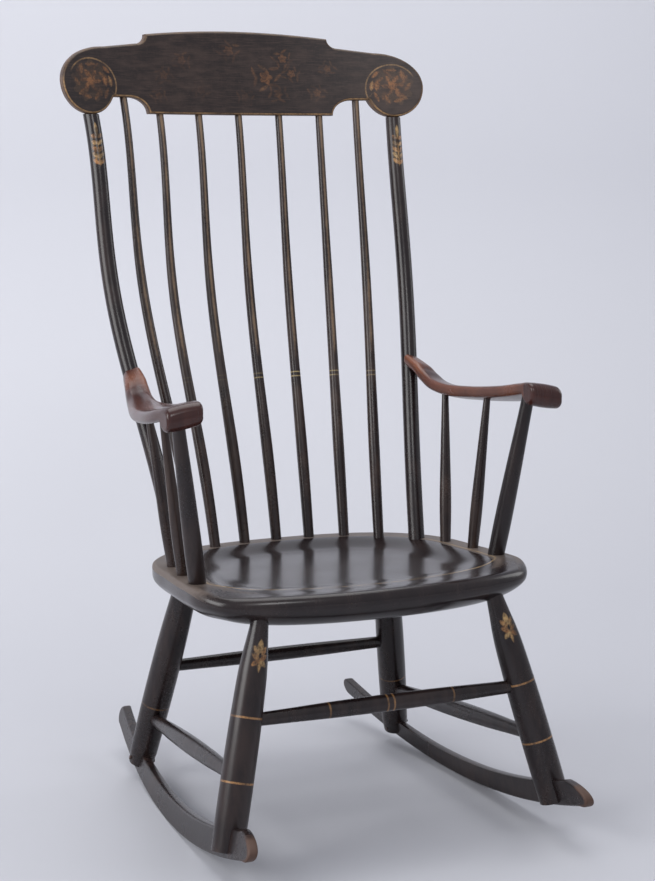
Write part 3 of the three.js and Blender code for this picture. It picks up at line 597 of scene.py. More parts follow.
def buildBack():
    b = backSpindles
    for step in range(-3, 4):
        start, end, bow = backLine(b["feet"][abs(step)], b["tops"][abs(step)])
        golds = [shareAt(start, end, z) for z in b["goldHeights"]]
        made = turned(start, end, b["table"], b["topRadius"], b["swell"], b["sinks"], bow, leanAxis, sides=28,
                      golds=golds)
        marks = ringMarks(made, golds, b["goldShares"][step + 3], b["wear"])
        # above the rings the front carries a worn gold-brown stripe
        above = smoothStep(golds[0] - b["stripeBelow"], golds[0] + b["stripeAbove"], made["share"])
        marks["wear"] = marks["wear"] + np.clip(made["facing"], 0, 1) ** 10 * above
        skin(f"backSpindle{step + 4}", f"back_spindle_{step + 4}", made["rings"] * (1 if step >= 0 else -1, 1, 1),
             marks, made["flat"], "worn_paint", spindlePaint)
    p = backPosts
    start, end, bow = backLine(p["foot"], p["top"], True)
    made = turned(start, end, p["table"], p["topRadius"], p["footRadius"], p["sinks"], bow, leanAxis, rows=260,
                  levelTop=True)
    # a thin tenon runs on from the eased shoulder into the crest rail
    shoulder = made["rings"][-1]
    centre = shoulder.mean(0)
    eased, narrow = ((shoulder - centre) * keep + centre + (0, 0, p["easeRise"])
                     for keep in (p["topEase"], p["tenon"] / p["topRadius"]))
    made["rings"] = np.concatenate([made["rings"], [eased, narrow, narrow + leanAxis * p["tenonRun"]]])
    made["share"] = np.vstack([made["share"], made["share"][-1] + [[0.001], [0.002], [0.03]]])
    for key in ("flat", "radius"):
        made[key] = np.concatenate([made[key], np.repeat(made[key][-1:], 3, axis=0)])
    marks = ringMarks(made, [], 0, p["wear"])
    leafGilt(made, marks, start, end, p, featherLeaves)
    skinPair("backPost", "back_post", made["rings"], marks, made["flat"], "black_paint", legPaint)


buildBack()
print("back made")


# ---- arms

arm = dict(
    low=0.5575, rise=0.036, thickness=0.015, width=0.059, handX=0.254, handY=0.204, rollRadius=0.0145,
    start=0.018, startRun=0.01, rollBlend=0.02, startRound=0.0028, tipRound=0.006, tipKeep=0.9,
    edgeRound=(0.0062, 0.0050), edgeChange=(0.90, 0.99), crown=0.0016,
    line=[(-0.03, 1.1), (0, 1.03), (0.1, 0.71), (0.157, 0.42), (0.246, 0.1), (0.35, 0), (0.54, 0.07),
          (0.77, 0.28), (0.93, 0.52), (1, 0.6)],
    # share of the length, place between post and hand, width and tilt
    plan=[(0.02, 0.02, 0.43, 0.3), (0.139, 0.175, 0.54, 0.28), (0.246, 0.325, 0.61, 0.24), (0.358, 0.5, 0.7, 0.2),
          (0.54, 0.75, 0.83, 0.17), (0.75, 0.94, 0.92, 0.17), (0.86, 0.99, 0.91, 0.17), (1, 0.98, 0.82, 0.17),
          (1.1, 0.97, 0.78, 0.17)],
    # the pale patch near the post and the painted light on the inner side, the worn top and the worn nose
    patchAt=0.10, patchRun=0.08, patchShare=0.62, litSideFrom=-0.2, litSideShare=0.55, noseFrom=(0.965, 0.99),
    topWear=0.2, topFrom=(0.15, 0.4), noseWear=0.6,
)
armLine = smoothLine(arm["line"], 16)
armPlan = smoothLine(arm["plan"], 16)


def postPlaceAt(z):
    start, end, bow = backLine(backPosts["foot"], backPosts["top"], True)
    share = shareAt(start, end, z)
    return mix(start, end, share) + bow * bend(share)


armEnd = postPlaceAt(arm["low"] + arm["rise"] * readLine(arm["line"], 0))


def armAt(share):
    # middle x, y, middle z, width and tilt of the arm at a share of its length
    place, width, tilt = (readLine(armPlan, share, k) for k in (1, 2, 3))
    z = arm["low"] + arm["rise"] * readLine(armLine, share)
    return mix(armEnd[0], arm["handX"], place), mix(armEnd[1], -arm["handY"], share), z, arm["width"] * width, tilt


def buildArms():
    # A rounded slab carried along a curved line; over the hand its lower side opens into a round roll
    a = arm
    roll, thick, first = a["rollRadius"], a["thickness"] / 2, a["start"]
    run = armEnd[1] + a["handY"]
    rollFrom = 1 - roll / run
    share = np.concatenate([first + a["startRun"] * np.linspace(0, 1, 9)[:-1] ** 2,
                            np.linspace(first + a["startRun"], rollFrom, 150, endpoint=False),
                            1 - roll * np.cos(np.linspace(0, math.pi, 60)) / run])
    x, y, z, width, tilt = armAt(share)
    steep = np.sqrt(1 + np.gradient(z, y) ** 2)
    rollZ = armAt(1.0)[2] + thick - roll
    bulge = np.sqrt(np.maximum(roll**2 - ((share - 1) * run) ** 2, 0))
    blend = smoothStep(rollFrom - a["rollBlend"], 1, share)
    top = np.where(share > 1, rollZ + bulge, mix(z + thick * steep, rollZ + roll, blend))
    low = z - thick * steep
    low = np.where(share >= rollFrom - 1e-9, np.minimum(low, rollZ - bulge), low)
    low = np.where(share > 1, rollZ - bulge, low)
    # round corners at the tip, and an eased end at the post
    atTip = roundOff(a["tipRound"], (share[-1] - share) * run)
    atStart = roundOff(a["startRound"], (share - first) * run)
    halfWidth = width / 2 - atTip * a["tipKeep"] - atStart
    top, low = top - atStart, low + atStart
    tall, middle = np.maximum(top - low, 1e-4), (top + low) / 2
    ease = np.minimum(mix(*a["edgeRound"], smoothStep(*a["edgeChange"], share)), tall * 0.49)
    # the section: a rectangle with four quarter-circle corners
    corners = []
    for k, (sx, sz) in enumerate(((1, 1), (-1, 1), (-1, -1), (1, -1))):
        t = np.linspace(0, math.pi / 2, 9) + k * math.pi / 2
        centre = np.stack([sx * (halfWidth - ease), middle + sz * (tall / 2 - ease)], axis=-1)
        corners.append(centre[:, None] + ease[:, None, None] * np.stack([np.cos(t), np.sin(t)], axis=-1))
    between = np.linspace(0, 1, 8)[1:-1, None]
    loop = np.concatenate([part for here, after in zip(corners, corners[1:] + corners[:1])
                           for part in (here, mix(here[:, -1:], after[:, :1], between))], axis=1)
    share, middle, tall, tilt = (v[:, None] for v in (share, middle, tall, tilt))
    offset, level = loop[..., 0], loop[..., 1]
    across = offset / (width[:, None] / 2)
    # a slight crown over the top and a hollow beneath
    level = level + a["crown"] * (1 - across**2) * np.sign(level - middle) * (tall > 0.01)
    rings = np.stack([x[:, None] + offset, y[:, None] + 0 * offset, level - tilt * offset], axis=-1)
    along = np.concatenate([[0], np.cumsum(np.hypot(np.diff(y), np.diff(z)))])
    u = np.concatenate([offset, offset[:, :1]], axis=1)
    flat = np.stack([u, along[:, None] + 0 * u], axis=-1)
    isTopSide = smoothStep(0.0, 0.4, (level - middle) / tall)
    onNose = smoothStep(*a["noseFrom"], share)
    # painted light: the inner side is painted orange where a lamp from the side would light it
    inner = a["litSideShare"] * smoothStep(a["litSideFrom"], -1.0, across)
    bright = (a["patchShare"] * bell(share - a["patchAt"], a["patchRun"]) * isTopSide + inner) * (1 - onNose)
    wear = a["topWear"] * isTopSide * smoothStep(*a["topFrom"], share) + a["noseWear"] * onNose
    skinPair("arm", "arm", rings, dict(bright=bright, wear=wear), flat, "arm_wood", armMaterial)


buildArms()

armSupports = dict(
    # feet as shares of the seat's half width and front depth, tops as shares along and across the arm
    feet=[(0.87, 0.045), (0.907, 0.289), (0.915, 0.524)], tops=[(0.31, 0.3), (0.62, 0.3), (0.905, 0.42)],
    sinks=(0.018, 0.009), spindle=(0.0048, 0.0085), post=(0.0084, 0.0119), wear=0.16,
    spindleTable=[(0, 0.75), (0.25, 1), (0.6, 0.6), (1, 0)],
    postTable=[(0, 0.85), (0.2, 1), (0.5, 0.75), (0.9, 0.1), (1, 0)],
)


def buildArmSupports():
    s = armSupports
    for k, word in enumerate(("arm_spindle_rear", "arm_spindle_front", "arm_post")):
        footX, footY = s["feet"][k][0] * seat["halfWidth"], -s["feet"][k][1] * seat["front"]
        share, across = s["tops"][k]
        x, y, z, width, tilt = armAt(share)
        out = (across - 0.5) * width
        top = (x + out, y, z - arm["thickness"] / 2 - tilt * out)
        kind, slot, paint = "spindle", "worn_paint", spindlePaint
        if word == "arm_post":
            kind, slot, paint = "post", "black_paint", legPaint
        made = turned((footX, footY, rimHeight(footY)), top, s[kind + "Table"], *s[kind], s["sinks"], sides=32,
                      rows=90)
        title = "".join(part.title() for part in word.split("_"))
        skinPair(title, word, made["rings"], ringMarks(made, [], 0, s["wear"]), made["flat"], slot, paint)


buildArmSupports()
print("arms made")


# ---- legs and stretchers

legs = dict(
    # top: shares of the seat's half width and of its depth to the front or back edge; golds: heights of the rings
    front=dict(foot=(0.232, -0.2825), top=(0.704, 0.85), thin=0.0115, thick=0.021, footSink=0.0,
               golds=(0.199, 0.122), goldShare=0.85,
               table=[(0, 0.92), (0.12, 0.98), (0.3, 1), (0.5, 0.96), (0.66, 0.85), (0.77, 0.73), (0.85, 0.54),
                      (0.92, 0.28), (1, 0)]),
    rear=dict(foot=(0.202, 0.151), top=(0.652, 0.556), thin=0.0164, thick=0.0208, footSink=0.020,
              golds=(0.114,), goldShare=0.3,
              table=[(0, 0.7), (0.3, 1), (0.55, 0.98), (0.7, 0.82), (0.85, 0.48), (1, 0.1)]),
    datum=0.040, topSink=0.0175, footEase=0.88, wear=0.2,
    leafLow=0.252, leafHigh=0.294, leafHalf=0.0125, leafShare=0.95,
)
stretchers = dict(
    # height on each leg it meets, then the thickest radius
    front=(0.194, 0.0112), rear=(0.171, 0.0102), side=(0.127, 0.091, 0.0124), end=0.0085, sink=0.011,
    table=[(0, 0), (0.12, 0.3), (0.3, 0.8), (0.5, 1), (0.7, 0.8), (0.88, 0.3), (1, 0)],
    frontGolds=(0.26, 0.49, 0.515, 0.76), goldShare=0.62, wear=0.2, sideWear=0.16,
)


def legLine(word):
    (x, depth), y = legs[word]["top"], seat["back"]
    y = -depth * seat["front"] if word == "front" else depth * seat["back"]
    end = np.array([x * seat["halfWidth"], y, rimHeight(y) - seat["thickness"]])
    return np.array([*legs[word]["foot"], legs["datum"]]), end


def legPlace(word, z):
    start, end = legLine(word)
    share, leg = shareAt(start, end, z), legs[word]
    return mix(start, end, share), mix(leg["thin"], leg["thick"], readLine(leg["table"], share))


def buildLegs():
    for word in ("front", "rear"):
        leg = legs[word]
        start, end = legLine(word)
        golds = [shareAt(start, end, z) for z in leg["golds"]]
        made = turned(start, end, leg["table"], leg["thin"], leg["thick"], (leg["footSink"], legs["topSink"]),
                      sides=48, rows=200, golds=golds)
        foot = made["rings"][0]
        made["rings"][0] = mix(foot.mean(0), foot, legs["footEase"])
        marks = ringMarks(made, golds, leg["goldShare"], legs["wear"])
        if word == "front":
            leafGilt(made, marks, start, end, legs, fanLeaves)
        skinPair(f"leg{word.title()}", f"leg_{word}", made["rings"], marks, made["flat"], "black_paint", legPaint)


def stretcherBetween(a, b, thick, golds=(), rows=150):
    # a turned piece from the skin of one leg to the skin of another
    s = stretchers
    (placeA, radiusA), (placeB, radiusB) = a, b
    way = (placeB - placeA) / np.linalg.norm(placeB - placeA)
    return turned(placeA + way * radiusA, placeB - way * radiusB, s["table"], s["end"], thick, [s["sink"]] * 2,
                  sides=32, rows=rows, golds=golds)


def buildStretchers():
    s = stretchers
    for word, golds in (("front", s["frontGolds"]), ("rear", ())):
        height, thick = s[word]
        place, radius = legPlace(word, height)
        made = stretcherBetween((place * (-1, 1, 1), radius), (place, radius), thick, golds)
        marks = ringMarks(made, golds, s["goldShare"], s["wear"])
        skin(f"stretcher{word.title()}", f"{word}_stretcher", made["rings"], marks, made["flat"], "black_paint",
             legPaint)
    frontHeight, rearHeight, thick = s["side"]
    made = stretcherBetween(legPlace("front", frontHeight), legPlace("rear", rearHeight), thick, rows=120)
    marks = ringMarks(made, [], 0, s["sideWear"])
    skinPair("stretcherSide", "side_stretcher", made["rings"], marks, made["flat"], "black_paint", legPaint)


buildLegs()
buildStretchers()
print("legs made")


# ---- boards: the rockers and the crest rail

def boardRings(along, low, high, rows, backRows, halfThick, edgeRound, place):
    # A flat outline between two curves, given a thickness that falls off in a quarter circle near its edge.
    # The front face runs up each column and the back face runs down it again.
    edge = np.vstack([np.stack([along, low], axis=1), np.stack([along, high], axis=1)[::-1]])
    edge = np.vstack([edge, edge[:1]])
    faces, flats, aways = [], [], []
    for count, side in ((rows, -1), (backRows, 1)):
        rise = mix((1 - np.cos(np.linspace(0, math.pi, count))) / 2, np.linspace(0, 1, count), 0.6)
        across = mix(low[:, None], high[:, None], rise)
        points = np.stack([along[:, None] + 0 * across, across], axis=-1)
        away = distanceTo(points.reshape(-1, 2), edge).reshape(across.shape)
        face = place(points[..., 0], points[..., 1], side * (halfThick - roundOff(edgeRound, away)))
        for parts, part in ((faces, face), (flats, points), (aways, away)):
            parts.append(part[:, ::-side])
    flats.append(flats[0][:, :1])
    return (np.concatenate(parts, axis=1) for parts in (faces, flats, aways))


rocker = dict(
    # the two edges are arcs, lowest at restY and at topLowY
    radius=1.104, restY=-0.0125, topRadius=1.037, topLowY=0.002, thickness=0.013, height=0.029, frontY=0.372,
    rearY=0.300, noseRun=0.044, noseUnder=0.020, tipShare=0.42, tailRun=0.015, lean=0.25, facets=22,
    edgeRound=0.0028, rows=26, wear=0.2, tipWear=0.42, tipRun=0.034, edgeWear=(0.3, 0.5, 0.003), tailWear=0.3,
    tailFrom=0.02,
)
pegs = dict(radius=0.003, up=0.015, inset=0.0006, wear=0.45,
            table=[(0, 0.6), (0.015, 1), (0.5, 1), (0.985, 1), (1, 0.6)])
(frontX, frontY), (rearX, rearY) = legs["front"]["foot"], legs["rear"]["foot"]
toeSlope = (rearX - frontX) / (rearY - frontY)


def rockerPlace(y, z, depth):
    x = frontX + toeSlope * (y - frontY) - rocker["lean"] * (z - legs["datum"])
    return np.stack([x + depth, y + 0 * z, z + 0 * y], axis=-1)


def drop(radius, y):
    # how far a circle has risen from its lowest point
    return radius - np.sqrt(radius**2 - y**2)


def rockerLow(y):
    # the short flat facet at the resting place keeps the board on the floor
    facet = (rocker["frontY"] + rocker["rearY"]) / rocker["facets"]
    return np.maximum(drop(rocker["radius"], y - rocker["restY"]) - drop(rocker["radius"], facet / 2), 0)


def rockerTop(y):
    return drop(rocker["topRadius"], y - rocker["topLowY"]) + rocker["height"]


def buildRockers():
    # Two arcs of circles, the lower one resting on the floor, closed by a round nose and a round tail
    r = rocker
    front, tail = -r["frontY"], r["rearY"] - r["tailRun"]
    nose, under = front + r["noseRun"], front + r["noseUnder"]
    tip = mix(rockerLow(under), rockerTop(nose), r["tipShare"])
    tailLow, tailTop = rockerLow(tail), rockerTop(tail)
    turn = np.linspace(0, math.pi / 2, 40)
    y = np.concatenate([front + r["noseRun"] * (1 - np.cos(turn)), np.linspace(nose, tail, 300)[1:-1],
                        tail + r["tailRun"] * np.sin(turn)])
    tailBow = (tailTop - tailLow) / 2 * arch(y - tail, r["tailRun"])
    high = np.where(y > tail, (tailLow + tailTop) / 2 + tailBow, rockerTop(y))
    high = np.where(y < nose, tip + (rockerTop(nose) - tip) * arch(nose - y, r["noseRun"]), high)
    low = np.where(y > tail, (tailLow + tailTop) / 2 - tailBow, rockerLow(y))
    low = np.where(y < under, tip - (tip - rockerLow(under)) * arch(under - y, r["noseUnder"]), low)
    rings, flat, away = boardRings(y, low, high, r["rows"], r["rows"], r["thickness"] / 2, r["edgeRound"],
                                   rockerPlace)
    tips = smoothStep(front + r["tipRun"], front, y)[:, None]
    edge, atTip, width = r["edgeWear"]
    wear = r["wear"] + r["tipWear"] * tips + (edge + atTip * tips) * bell(away, width)
    wear = np.maximum(wear, r["tailWear"] * smoothStep(tail - r["tailFrom"], tail + r["tailRun"], y)[:, None])
    skinPair("rocker", "rocker", rings, dict(wear=wear), flat, "black_paint", rockerPaint)
    way = np.array([1, -toeSlope, r["lean"]])
    way = way / np.linalg.norm(way)
    for word in ("front", "rear"):
        footY = legs[word]["foot"][1]
        middle = rockerPlace(footY, rockerLow(footY) + pegs["up"], 0.0)
        reach = way * (legPlace(word, legs["datum"])[1] - pegs["inset"])
        made = turned(middle - reach, middle + reach, pegs["table"], 0, pegs["radius"], (0, 0), sides=20, rows=60)
        skinPair(f"peg{word.title()}", f"rocker_pin_{word}", made["rings"], ringMarks(made, [], 0, pegs["wear"]),
                 made["flat"], "black_paint", legPaint)


buildRockers()
print("rockers made")


def crestPlace(x, z, depth):
    return np.stack([x + 0 * z, crestMiddleY(x, z) + depth, z + 0 * x], axis=-1)


def crestEdges():
    # the lower and upper edge of the crest rail's outline as heights over x, half of it, from the middle outwards
    c = crest
    high = c["low"] + c["height"]
    middle, lower = c["half"] - c["stepIn"], c["half"] - c["notchIn"]
    stepEnd, notchEnd = middle + c["stepRun"], lower + c["notchRun"]
    lobeX, lobeZ = c["half"] - c["lobeIn"], c["low"] + c["lobeRise"]
    lobeBelow = c["lobeRise"] + c["lobeDrop"]
    notchZ = c["low"] + c["notchRise"]
    joinX = lobeX - c["lobeInner"] * arch(lobeZ - notchZ, lobeBelow)
    quarter = np.linspace(0, math.pi / 2, 15)
    x = np.unique(np.concatenate([
        np.linspace(0, lower - 0.001, 96), lower + c["notchRun"] * (1 - np.cos(quarter)),
        middle + c["stepRun"] * (1 - np.cos(quarter)), [middle - 0.0004],
        np.linspace(notchEnd, joinX, 10), joinX + (lobeX - joinX) * (1 - np.cos(quarter)),
        lobeX + c["lobeIn"] * np.sin(quarter), np.linspace(joinX, c["half"] - 0.004, 50),
    ]).round(7))
    inner = lobeZ - lobeBelow * arch(lobeX - x, c["lobeInner"])
    outer = lobeZ - lobeBelow * arch(x - lobeX, c["lobeIn"])
    notch = notchZ - c["notchRise"] * (1 - arch(notchEnd - x, c["notchRun"]))
    low = np.where(x < lower, c["low"], np.where(x < notchEnd, notch, notchZ))
    low = np.where(x > joinX, np.where(x < lobeX, inner, outer), low)
    crown = high - c["crown"] * (x / middle) ** 2
    shoulderZ = high - c["crown"] - c["stepRise"]
    topX, topZ = c["half"] - c["lobeTopRun"], lobeZ + c["lobeTop"]
    lobeHigh = lobeZ + c["lobeTop"] * arch(np.maximum(x - topX, 0), c["lobeTopRun"])
    sloped = mix(shoulderZ, topZ, (x - stepEnd) / (topX - stepEnd))
    # the end of the raised middle falls as a quarter-round hollow
    cove = shoulderZ + c["stepRise"] * (1 - arch(np.clip((stepEnd - x) / c["stepRun"], 0, 1), 1))
    side = np.where(x < stepEnd, cove, np.where(x < topX, sloped, lobeHigh))
    return x, low, np.where(x < middle, crown, side)


def petals(x, z, centre, size, count, turn):
    # signed distance, roughly, to a flower whose edge swings with the angle
    dx, dz = x - centre[0], z - centre[1]
    far, angle = np.hypot(dx, dz), np.arctan2(dz, dx)
    return far - size * (0.62 + 0.38 * np.abs(np.cos(count / 2 * (angle - turn))))


def lens(x, z, centre, long, wide, turn):
    # signed distance, roughly, to a pointed leaf, and how near a point is to its mid-line (1 there, 0 at its edge)
    a, b = math.cos(turn), math.sin(turn)
    u = (x - centre[0]) * a + (z - centre[1]) * b
    v = np.abs(-(x - centre[0]) * b + (z - centre[1]) * a)
    return (v / wide + (u / long) ** 2 - 1) * wide * 0.55, np.clip(1 - v / wide, 0, 1)


crestGold = dict(
    # the line along the edge: its inset, the heights and places between which it is stronger, and how strong
    inset=0.0022, below=(0.6, 0.25), lobeFrom=(0.17, 0.21), lobeBelow=(0.9, 0.6), shares=(0.95, 0.25, 0.5),
    # the scroll over each rosette: its drop, radius, growth, and the angles at which it begins and ends
    scrollDrop=0.002, scrollRadius=0.0345, scrollGrowth=0.0065, growthTurn=(1.5, -0.4), scrollStart=(2.75, 2.3),
    scrollEnd=(-0.75, -0.6), scrollShare=0.8,
)
rosette = dict(
    # ground: size, petals and turn, then how deep and strong; leaves in two rings and three by the inner side
    rise=0.001, ground=(0.0310, 9, 0.2), groundDepth=0.0002, groundShare=0.40,
    outerCount=11, outerReach=(0.0195, 0.00175), outerLong=(0.0085, 0.0015), outerWide=0.0044,
    innerCount=6, innerReach=0.0105, innerLong=0.0078, innerWide=0.0042,
    flower=(0.0076, 5, 0.3), eye=0.0024,
    sideLeaves=((0.0300, 2.55, 0.1), (0.0310, 3.15, 0.5), (0.0300, 3.75, 0.15)), sideLong=0.0080,
    sideWide=0.0034,
)
# small flowers among leaflets, better kept on one side than on the other: x, z, strength and size
sprays = dict(
    middle=0.060, leaflets=7, reach=(1.75, 0.25), long=0.85, wide=0.28,
    flowers=[(0.044, -0.004, 0.36, 0.0105), (0.072, 0.024, 0.28, 0.0070), (0.084, 0.002, 0.24, 0.0065),
             (0.062, -0.028, 0.22, 0.0075), (0.122, -0.026, 0.20, 0.0065), (-0.012, 0.034, 0.20, 0.0080),
             (-0.088, 0.018, 0.16, 0.0070), (-0.118, -0.004, 0.14, 0.0070), (-0.060, -0.024, 0.11, 0.0070),
             (0.010, -0.034, 0.12, 0.0065), (-0.128, -0.034, 0.16, 0.0060), (0.140, 0.010, 0.20, 0.0060)],
)
crestRows, crestBackRows = 100, 34
crestWear = dict(base=0.14, edge=0.62, width=0.0028)


def edgeGold(x, z, away, share, lobeX, lobeZ):
    # gold: a line along the edge, strong below and round the lobes, faint on top, and a scroll over each rosette
    g = crestGold
    low, faint, lobe = g["shares"]
    gild = away - g["inset"]
    atLobe = smoothStep(*g["lobeFrom"], x) * smoothStep(*g["lobeBelow"], share)
    gildShare = np.clip(low * smoothStep(*g["below"], share) + faint + lobe * atLobe, 0, 1)
    dx, dz = lobeX - x, z - (lobeZ - g["scrollDrop"])
    angle = np.arctan2(dz, dx)
    scroll = np.hypot(dx, dz) - (g["scrollRadius"] + g["scrollGrowth"] * smoothStep(*g["growthTurn"], angle))
    onScroll = smoothStep(*g["scrollStart"], angle) * smoothStep(*g["scrollEnd"], angle)
    nearer = (np.abs(scroll) < np.abs(gild)) & (onScroll > 0.02)
    return np.where(nearer, scroll, gild), np.where(nearer, g["scrollShare"] * onScroll, gildShare)


def crestOrnament(x, z, lobeX, lobeZ):
    # a rosette of leaves round a five-petalled flower on each lobe, and faded sprays in the middle; each
    # shape takes over where its own distance is the least so far
    leaf = np.full(x.shape, noMark)
    tone, strength = np.zeros(x.shape), np.zeros(x.shape)
    lobeSide = np.abs(x)

    def addShape(shape, shade, amount):
        nonlocal leaf, tone, strength
        inside = shape < leaf
        here = ((shape, leaf), (shade, tone), (amount, strength))
        leaf, tone, strength = (np.where(inside, after, before) for after, before in here)

    def addLeaf(where, middle, reach, turn, long, wide, lean, shade, amount, flatten=1.0):
        at = (middle[0] + reach * math.cos(turn), middle[1] + flatten * reach * math.sin(turn))
        shape, ridge = lens(where, z, at, long, wide, lean)
        addShape(shape, shade + 0.35 * ridge, amount * (0.6 + 0.4 * ridge))

    r = rosette
    centre = (lobeX, lobeZ + r["rise"])
    addShape(np.maximum(petals(lobeSide, z, centre, *r["ground"]), -r["groundDepth"]), 0.0, r["groundShare"])
    for k in range(r["outerCount"]):
        turn = 0.35 + k * 2 * math.pi / r["outerCount"] + 0.14 * (-1) ** k
        reach, long = (base + more * (k % count) for (base, more), count in (
            (r["outerReach"], 3), (r["outerLong"], 2)))
        addLeaf(lobeSide, centre, reach, turn, long, r["outerWide"], turn + 0.5 + 0.5 * (k % 3),
                0.35 * (k % 4 == 1), 0.38 + 0.16 * (k % 3))
    for k in range(r["innerCount"]):
        turn = 0.1 + k * 2 * math.pi / r["innerCount"]
        addLeaf(lobeSide, centre, r["innerReach"], turn, r["innerLong"], r["innerWide"], turn - 0.3,
                0.05 + 0.2 * (k % 2), 0.45 + 0.12 * (k % 3))
    addShape(petals(lobeSide, z, centre, *r["flower"]), 0.45, 0.6)
    addShape(np.hypot(lobeSide - centre[0], z - centre[1]) - r["eye"], 0.0, 0.9)
    for reach, turn, shade in r["sideLeaves"]:
        addLeaf(lobeSide, centre, reach, turn, r["sideLong"], r["sideWide"], turn + 1.35, shade, 0.8)
    s = sprays
    for k, (atX, atZ, amount, size) in enumerate(s["flowers"]):
        at = (atX, crest["low"] + s["middle"] + atZ)
        for j in range(s["leaflets"]):
            turn = 0.5 * k + j * 2 * math.pi / s["leaflets"]
            addLeaf(x, at, size * (s["reach"][0] + s["reach"][1] * (j % 2)), turn, size * s["long"],
                    size * s["wide"], turn + 0.8 * (-1) ** j, 0.1 + 0.15 * (j % 3), amount * 0.8, 0.8)
        addShape(petals(x, z, at, size, 5, 0.4 * k), 0.45, amount)
        addShape(np.hypot(x - at[0], z - at[1]) - size * 0.25, 0.0, amount)
    return leaf, tone, strength


def buildCrest():
    c = crest
    x, low, high = crestEdges()
    x = np.concatenate([-x[:0:-1], x])
    low, high = (np.concatenate([v[:0:-1], v]) for v in (low, high))
    rings, flat, away = boardRings(x, low, high, crestRows, crestBackRows, c["thickness"] / 2, c["edgeRound"],
                                   crestPlace)
    faceX, faceZ = flat[:, :crestRows, 0], flat[:, :crestRows, 1]
    share = (faceZ - low[:, None]) / np.maximum(high - low, 1e-6)[:, None]
    lobe = (c["half"] - c["lobeIn"], c["low"] + c["lobeRise"])
    gild, gildShare = edgeGold(np.abs(faceX), faceZ, away[:, :crestRows], share, *lobe)
    leaf, tone, strength = crestOrnament(faceX, faceZ, *lobe)
    marks = dict(wear=crestWear["base"] + crestWear["edge"] * bell(away, crestWear["width"]))
    # the back carries none of it
    for name, values, behind in (("gild", gild, noMark), ("gildShare", gildShare, 0), ("leaf", leaf, noMark),
                                 ("leafShare", strength, 0), ("leafTone", tone, 0)):
        marks[name] = np.concatenate([values, np.full((len(x), crestBackRows), behind)], axis=1)
    skin("crestRail", "crest_rail", rings, marks, flat, "crest_paint", crestPaint)


buildCrest()
print("crest rail made")


# ---- floor, backdrop and light

studio = dict(
    floor=(0.550, 0.555, 0.590), wall=(0.780, 0.785, 0.825), rough=0.9, gloss=0.1,
    halfWidth=7, frontY=-6, bendY=0.9, wallY=1.8, straightFrom=1.2, wallTop=5,
    # painted light: the floor's tone turns to the wall's paler one between these depths; rise counts as depth by
    # this factor
    paintedLightDepths=(0.3, 3.3), riseDepth=1.2, fade=(2.6, 4.4),
    worldColour=(0.89, 0.91, 1.0), worldLight=0.50, beyond=(0.66, 0.67, 0.73), lampAim=(0, 0, 0.45),
    # name, place, size and power of each lamp
    lamps=(("sideLamp", (-2.6, -0.3, 1.6), 1.8, 46), ("rightLamp", (2.5, 0.1, 1.7), 1.1, 9),
           ("topLamp", (0.2, 0.7, 3.2), 2.4, 40), ("frontLamp", (-0.5, -2.6, 2.8), 0.9, 16)),
)


def paperMaterial():
    # Matt paper, painted paler towards the wall as painted light. From behind it is clear, so the chair shows
    # from every side, and for the camera alone it also fades out far from the chair
    paper, tree, shader = newMaterial("floorPaper")
    shader.inputs["Roughness"].default_value = studio["rough"]
    shader.inputs["Specular IOR Level"].default_value = studio["gloss"]
    apart = addNode(tree, "SeparateXYZ", {0: addNode(tree, "TexCoord").outputs["Object"]})
    x, y, z = (apart.outputs[axis] for axis in "XYZ")
    # painted light: the paper's colour grows paler with depth and with height up the wall
    shade = ramp(scaled(z, studio["riseDepth"], y), *studio["paintedLightDepths"])
    tree.links.new(blendColour(shade, studio["floor"], studio["wall"]), shader.inputs["Base Color"])
    clear = addNode(tree, "BsdfTransparent").outputs[0]
    behind = addNode(tree, "NewGeometry").outputs["Backfacing"]
    isCamera = addNode(tree, "LightPath").outputs["Is Camera Ray"]
    away = calc("SQRT", plus(times(x, x), times(y, y)))
    unseen = calc("MAXIMUM", behind, times(ramp(away, *studio["fade"]), isCamera))
    both = addNode(tree, "MixShader", {0: unseen, 1: shader.outputs[0], 2: clear}).outputs[0]
    tree.links.new(both, tree.nodes["Material Output"].inputs["Surface"])
    return paper


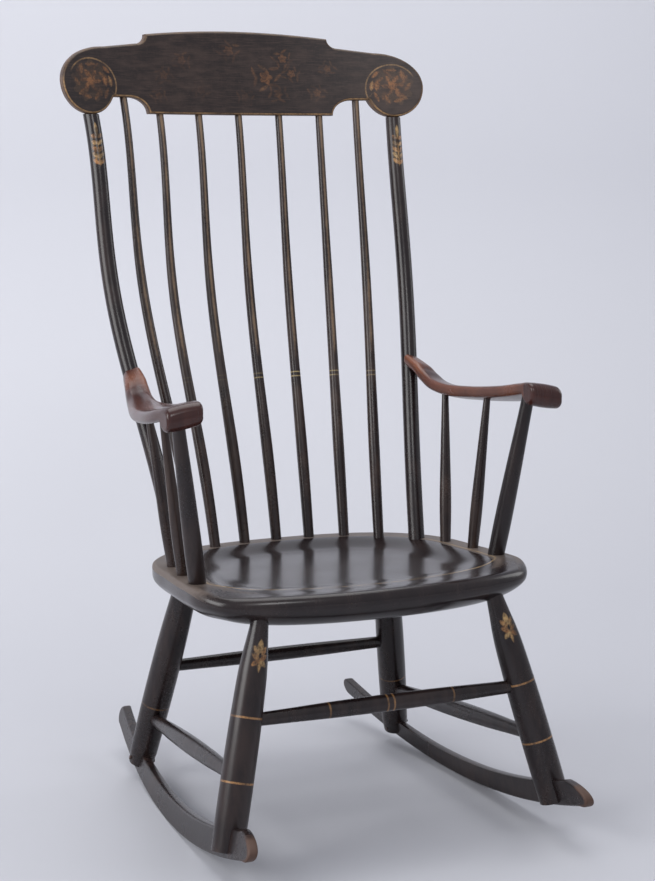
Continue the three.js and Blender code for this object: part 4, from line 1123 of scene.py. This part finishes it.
def buildStudio():
    # One sheet: a flat floor that curves up into a wall behind the chair
    s = studio
    turn = np.linspace(0, math.pi / 2, 24)[1:]
    bendRun = s["wallY"] - s["bendY"]
    y = np.concatenate([np.linspace(s["frontY"], s["bendY"], 10), s["bendY"] + bendRun * np.sin(turn),
                        np.full(6, s["wallY"])])
    z = np.concatenate([np.zeros(10), bendRun - bendRun * np.cos(turn),
                        np.linspace(s["straightFrom"], s["wallTop"], 6)])
    x = np.linspace(-s["halfWidth"], s["halfWidth"], 3)
    points = np.stack(np.broadcast_arrays(x, y[:, None], z[:, None]), axis=-1)
    index = np.arange(len(y) * len(x)).reshape(len(y), len(x))
    quads = quadsOf(index[:, :-1], index[:, 1:])
    mesh = bpy.data.meshes.new("floor")
    mesh.from_pydata(points.reshape(-1, 3).tolist(), [], quads.tolist())
    mesh.polygons.foreach_set("use_smooth", np.ones(len(quads), bool))
    mesh.materials.append(paperMaterial())
    newObject("floor", mesh)


def buildLight():
    # a plain even sky, which the camera sees beyond the sheet in the wall's own pale tone, and four soft lamps
    world = bpy.data.worlds.new("studio")
    world.use_nodes = True
    tree = world.node_tree
    ground = tree.nodes["Background"]
    ground.inputs["Color"].default_value = (*studio["worldColour"], 1)
    ground.inputs["Strength"].default_value = studio["worldLight"]
    seen = addNode(tree, "Background", {"Color": (*studio["beyond"], 1), "Strength": 1.0}).outputs[0]
    isCamera = addNode(tree, "LightPath").outputs["Is Camera Ray"]
    both = addNode(tree, "MixShader", {0: isCamera, 1: ground.outputs[0], 2: seen}).outputs[0]
    tree.links.new(both, tree.nodes["World Output"].inputs["Surface"])
    bpy.context.scene.world = world
    for name, place, size, power in studio["lamps"]:
        lamp = bpy.data.lights.new(name, "AREA")
        lamp.size, lamp.energy = size, power
        holder = newObject(name, lamp)
        holder.location = place
        holder.rotation_euler = (Vector(studio["lampAim"]) - Vector(place)).to_track_quat("-Z", "Y").to_euler()


buildStudio()
buildLight()
bpy.context.scene.view_settings.view_transform = "Standard"
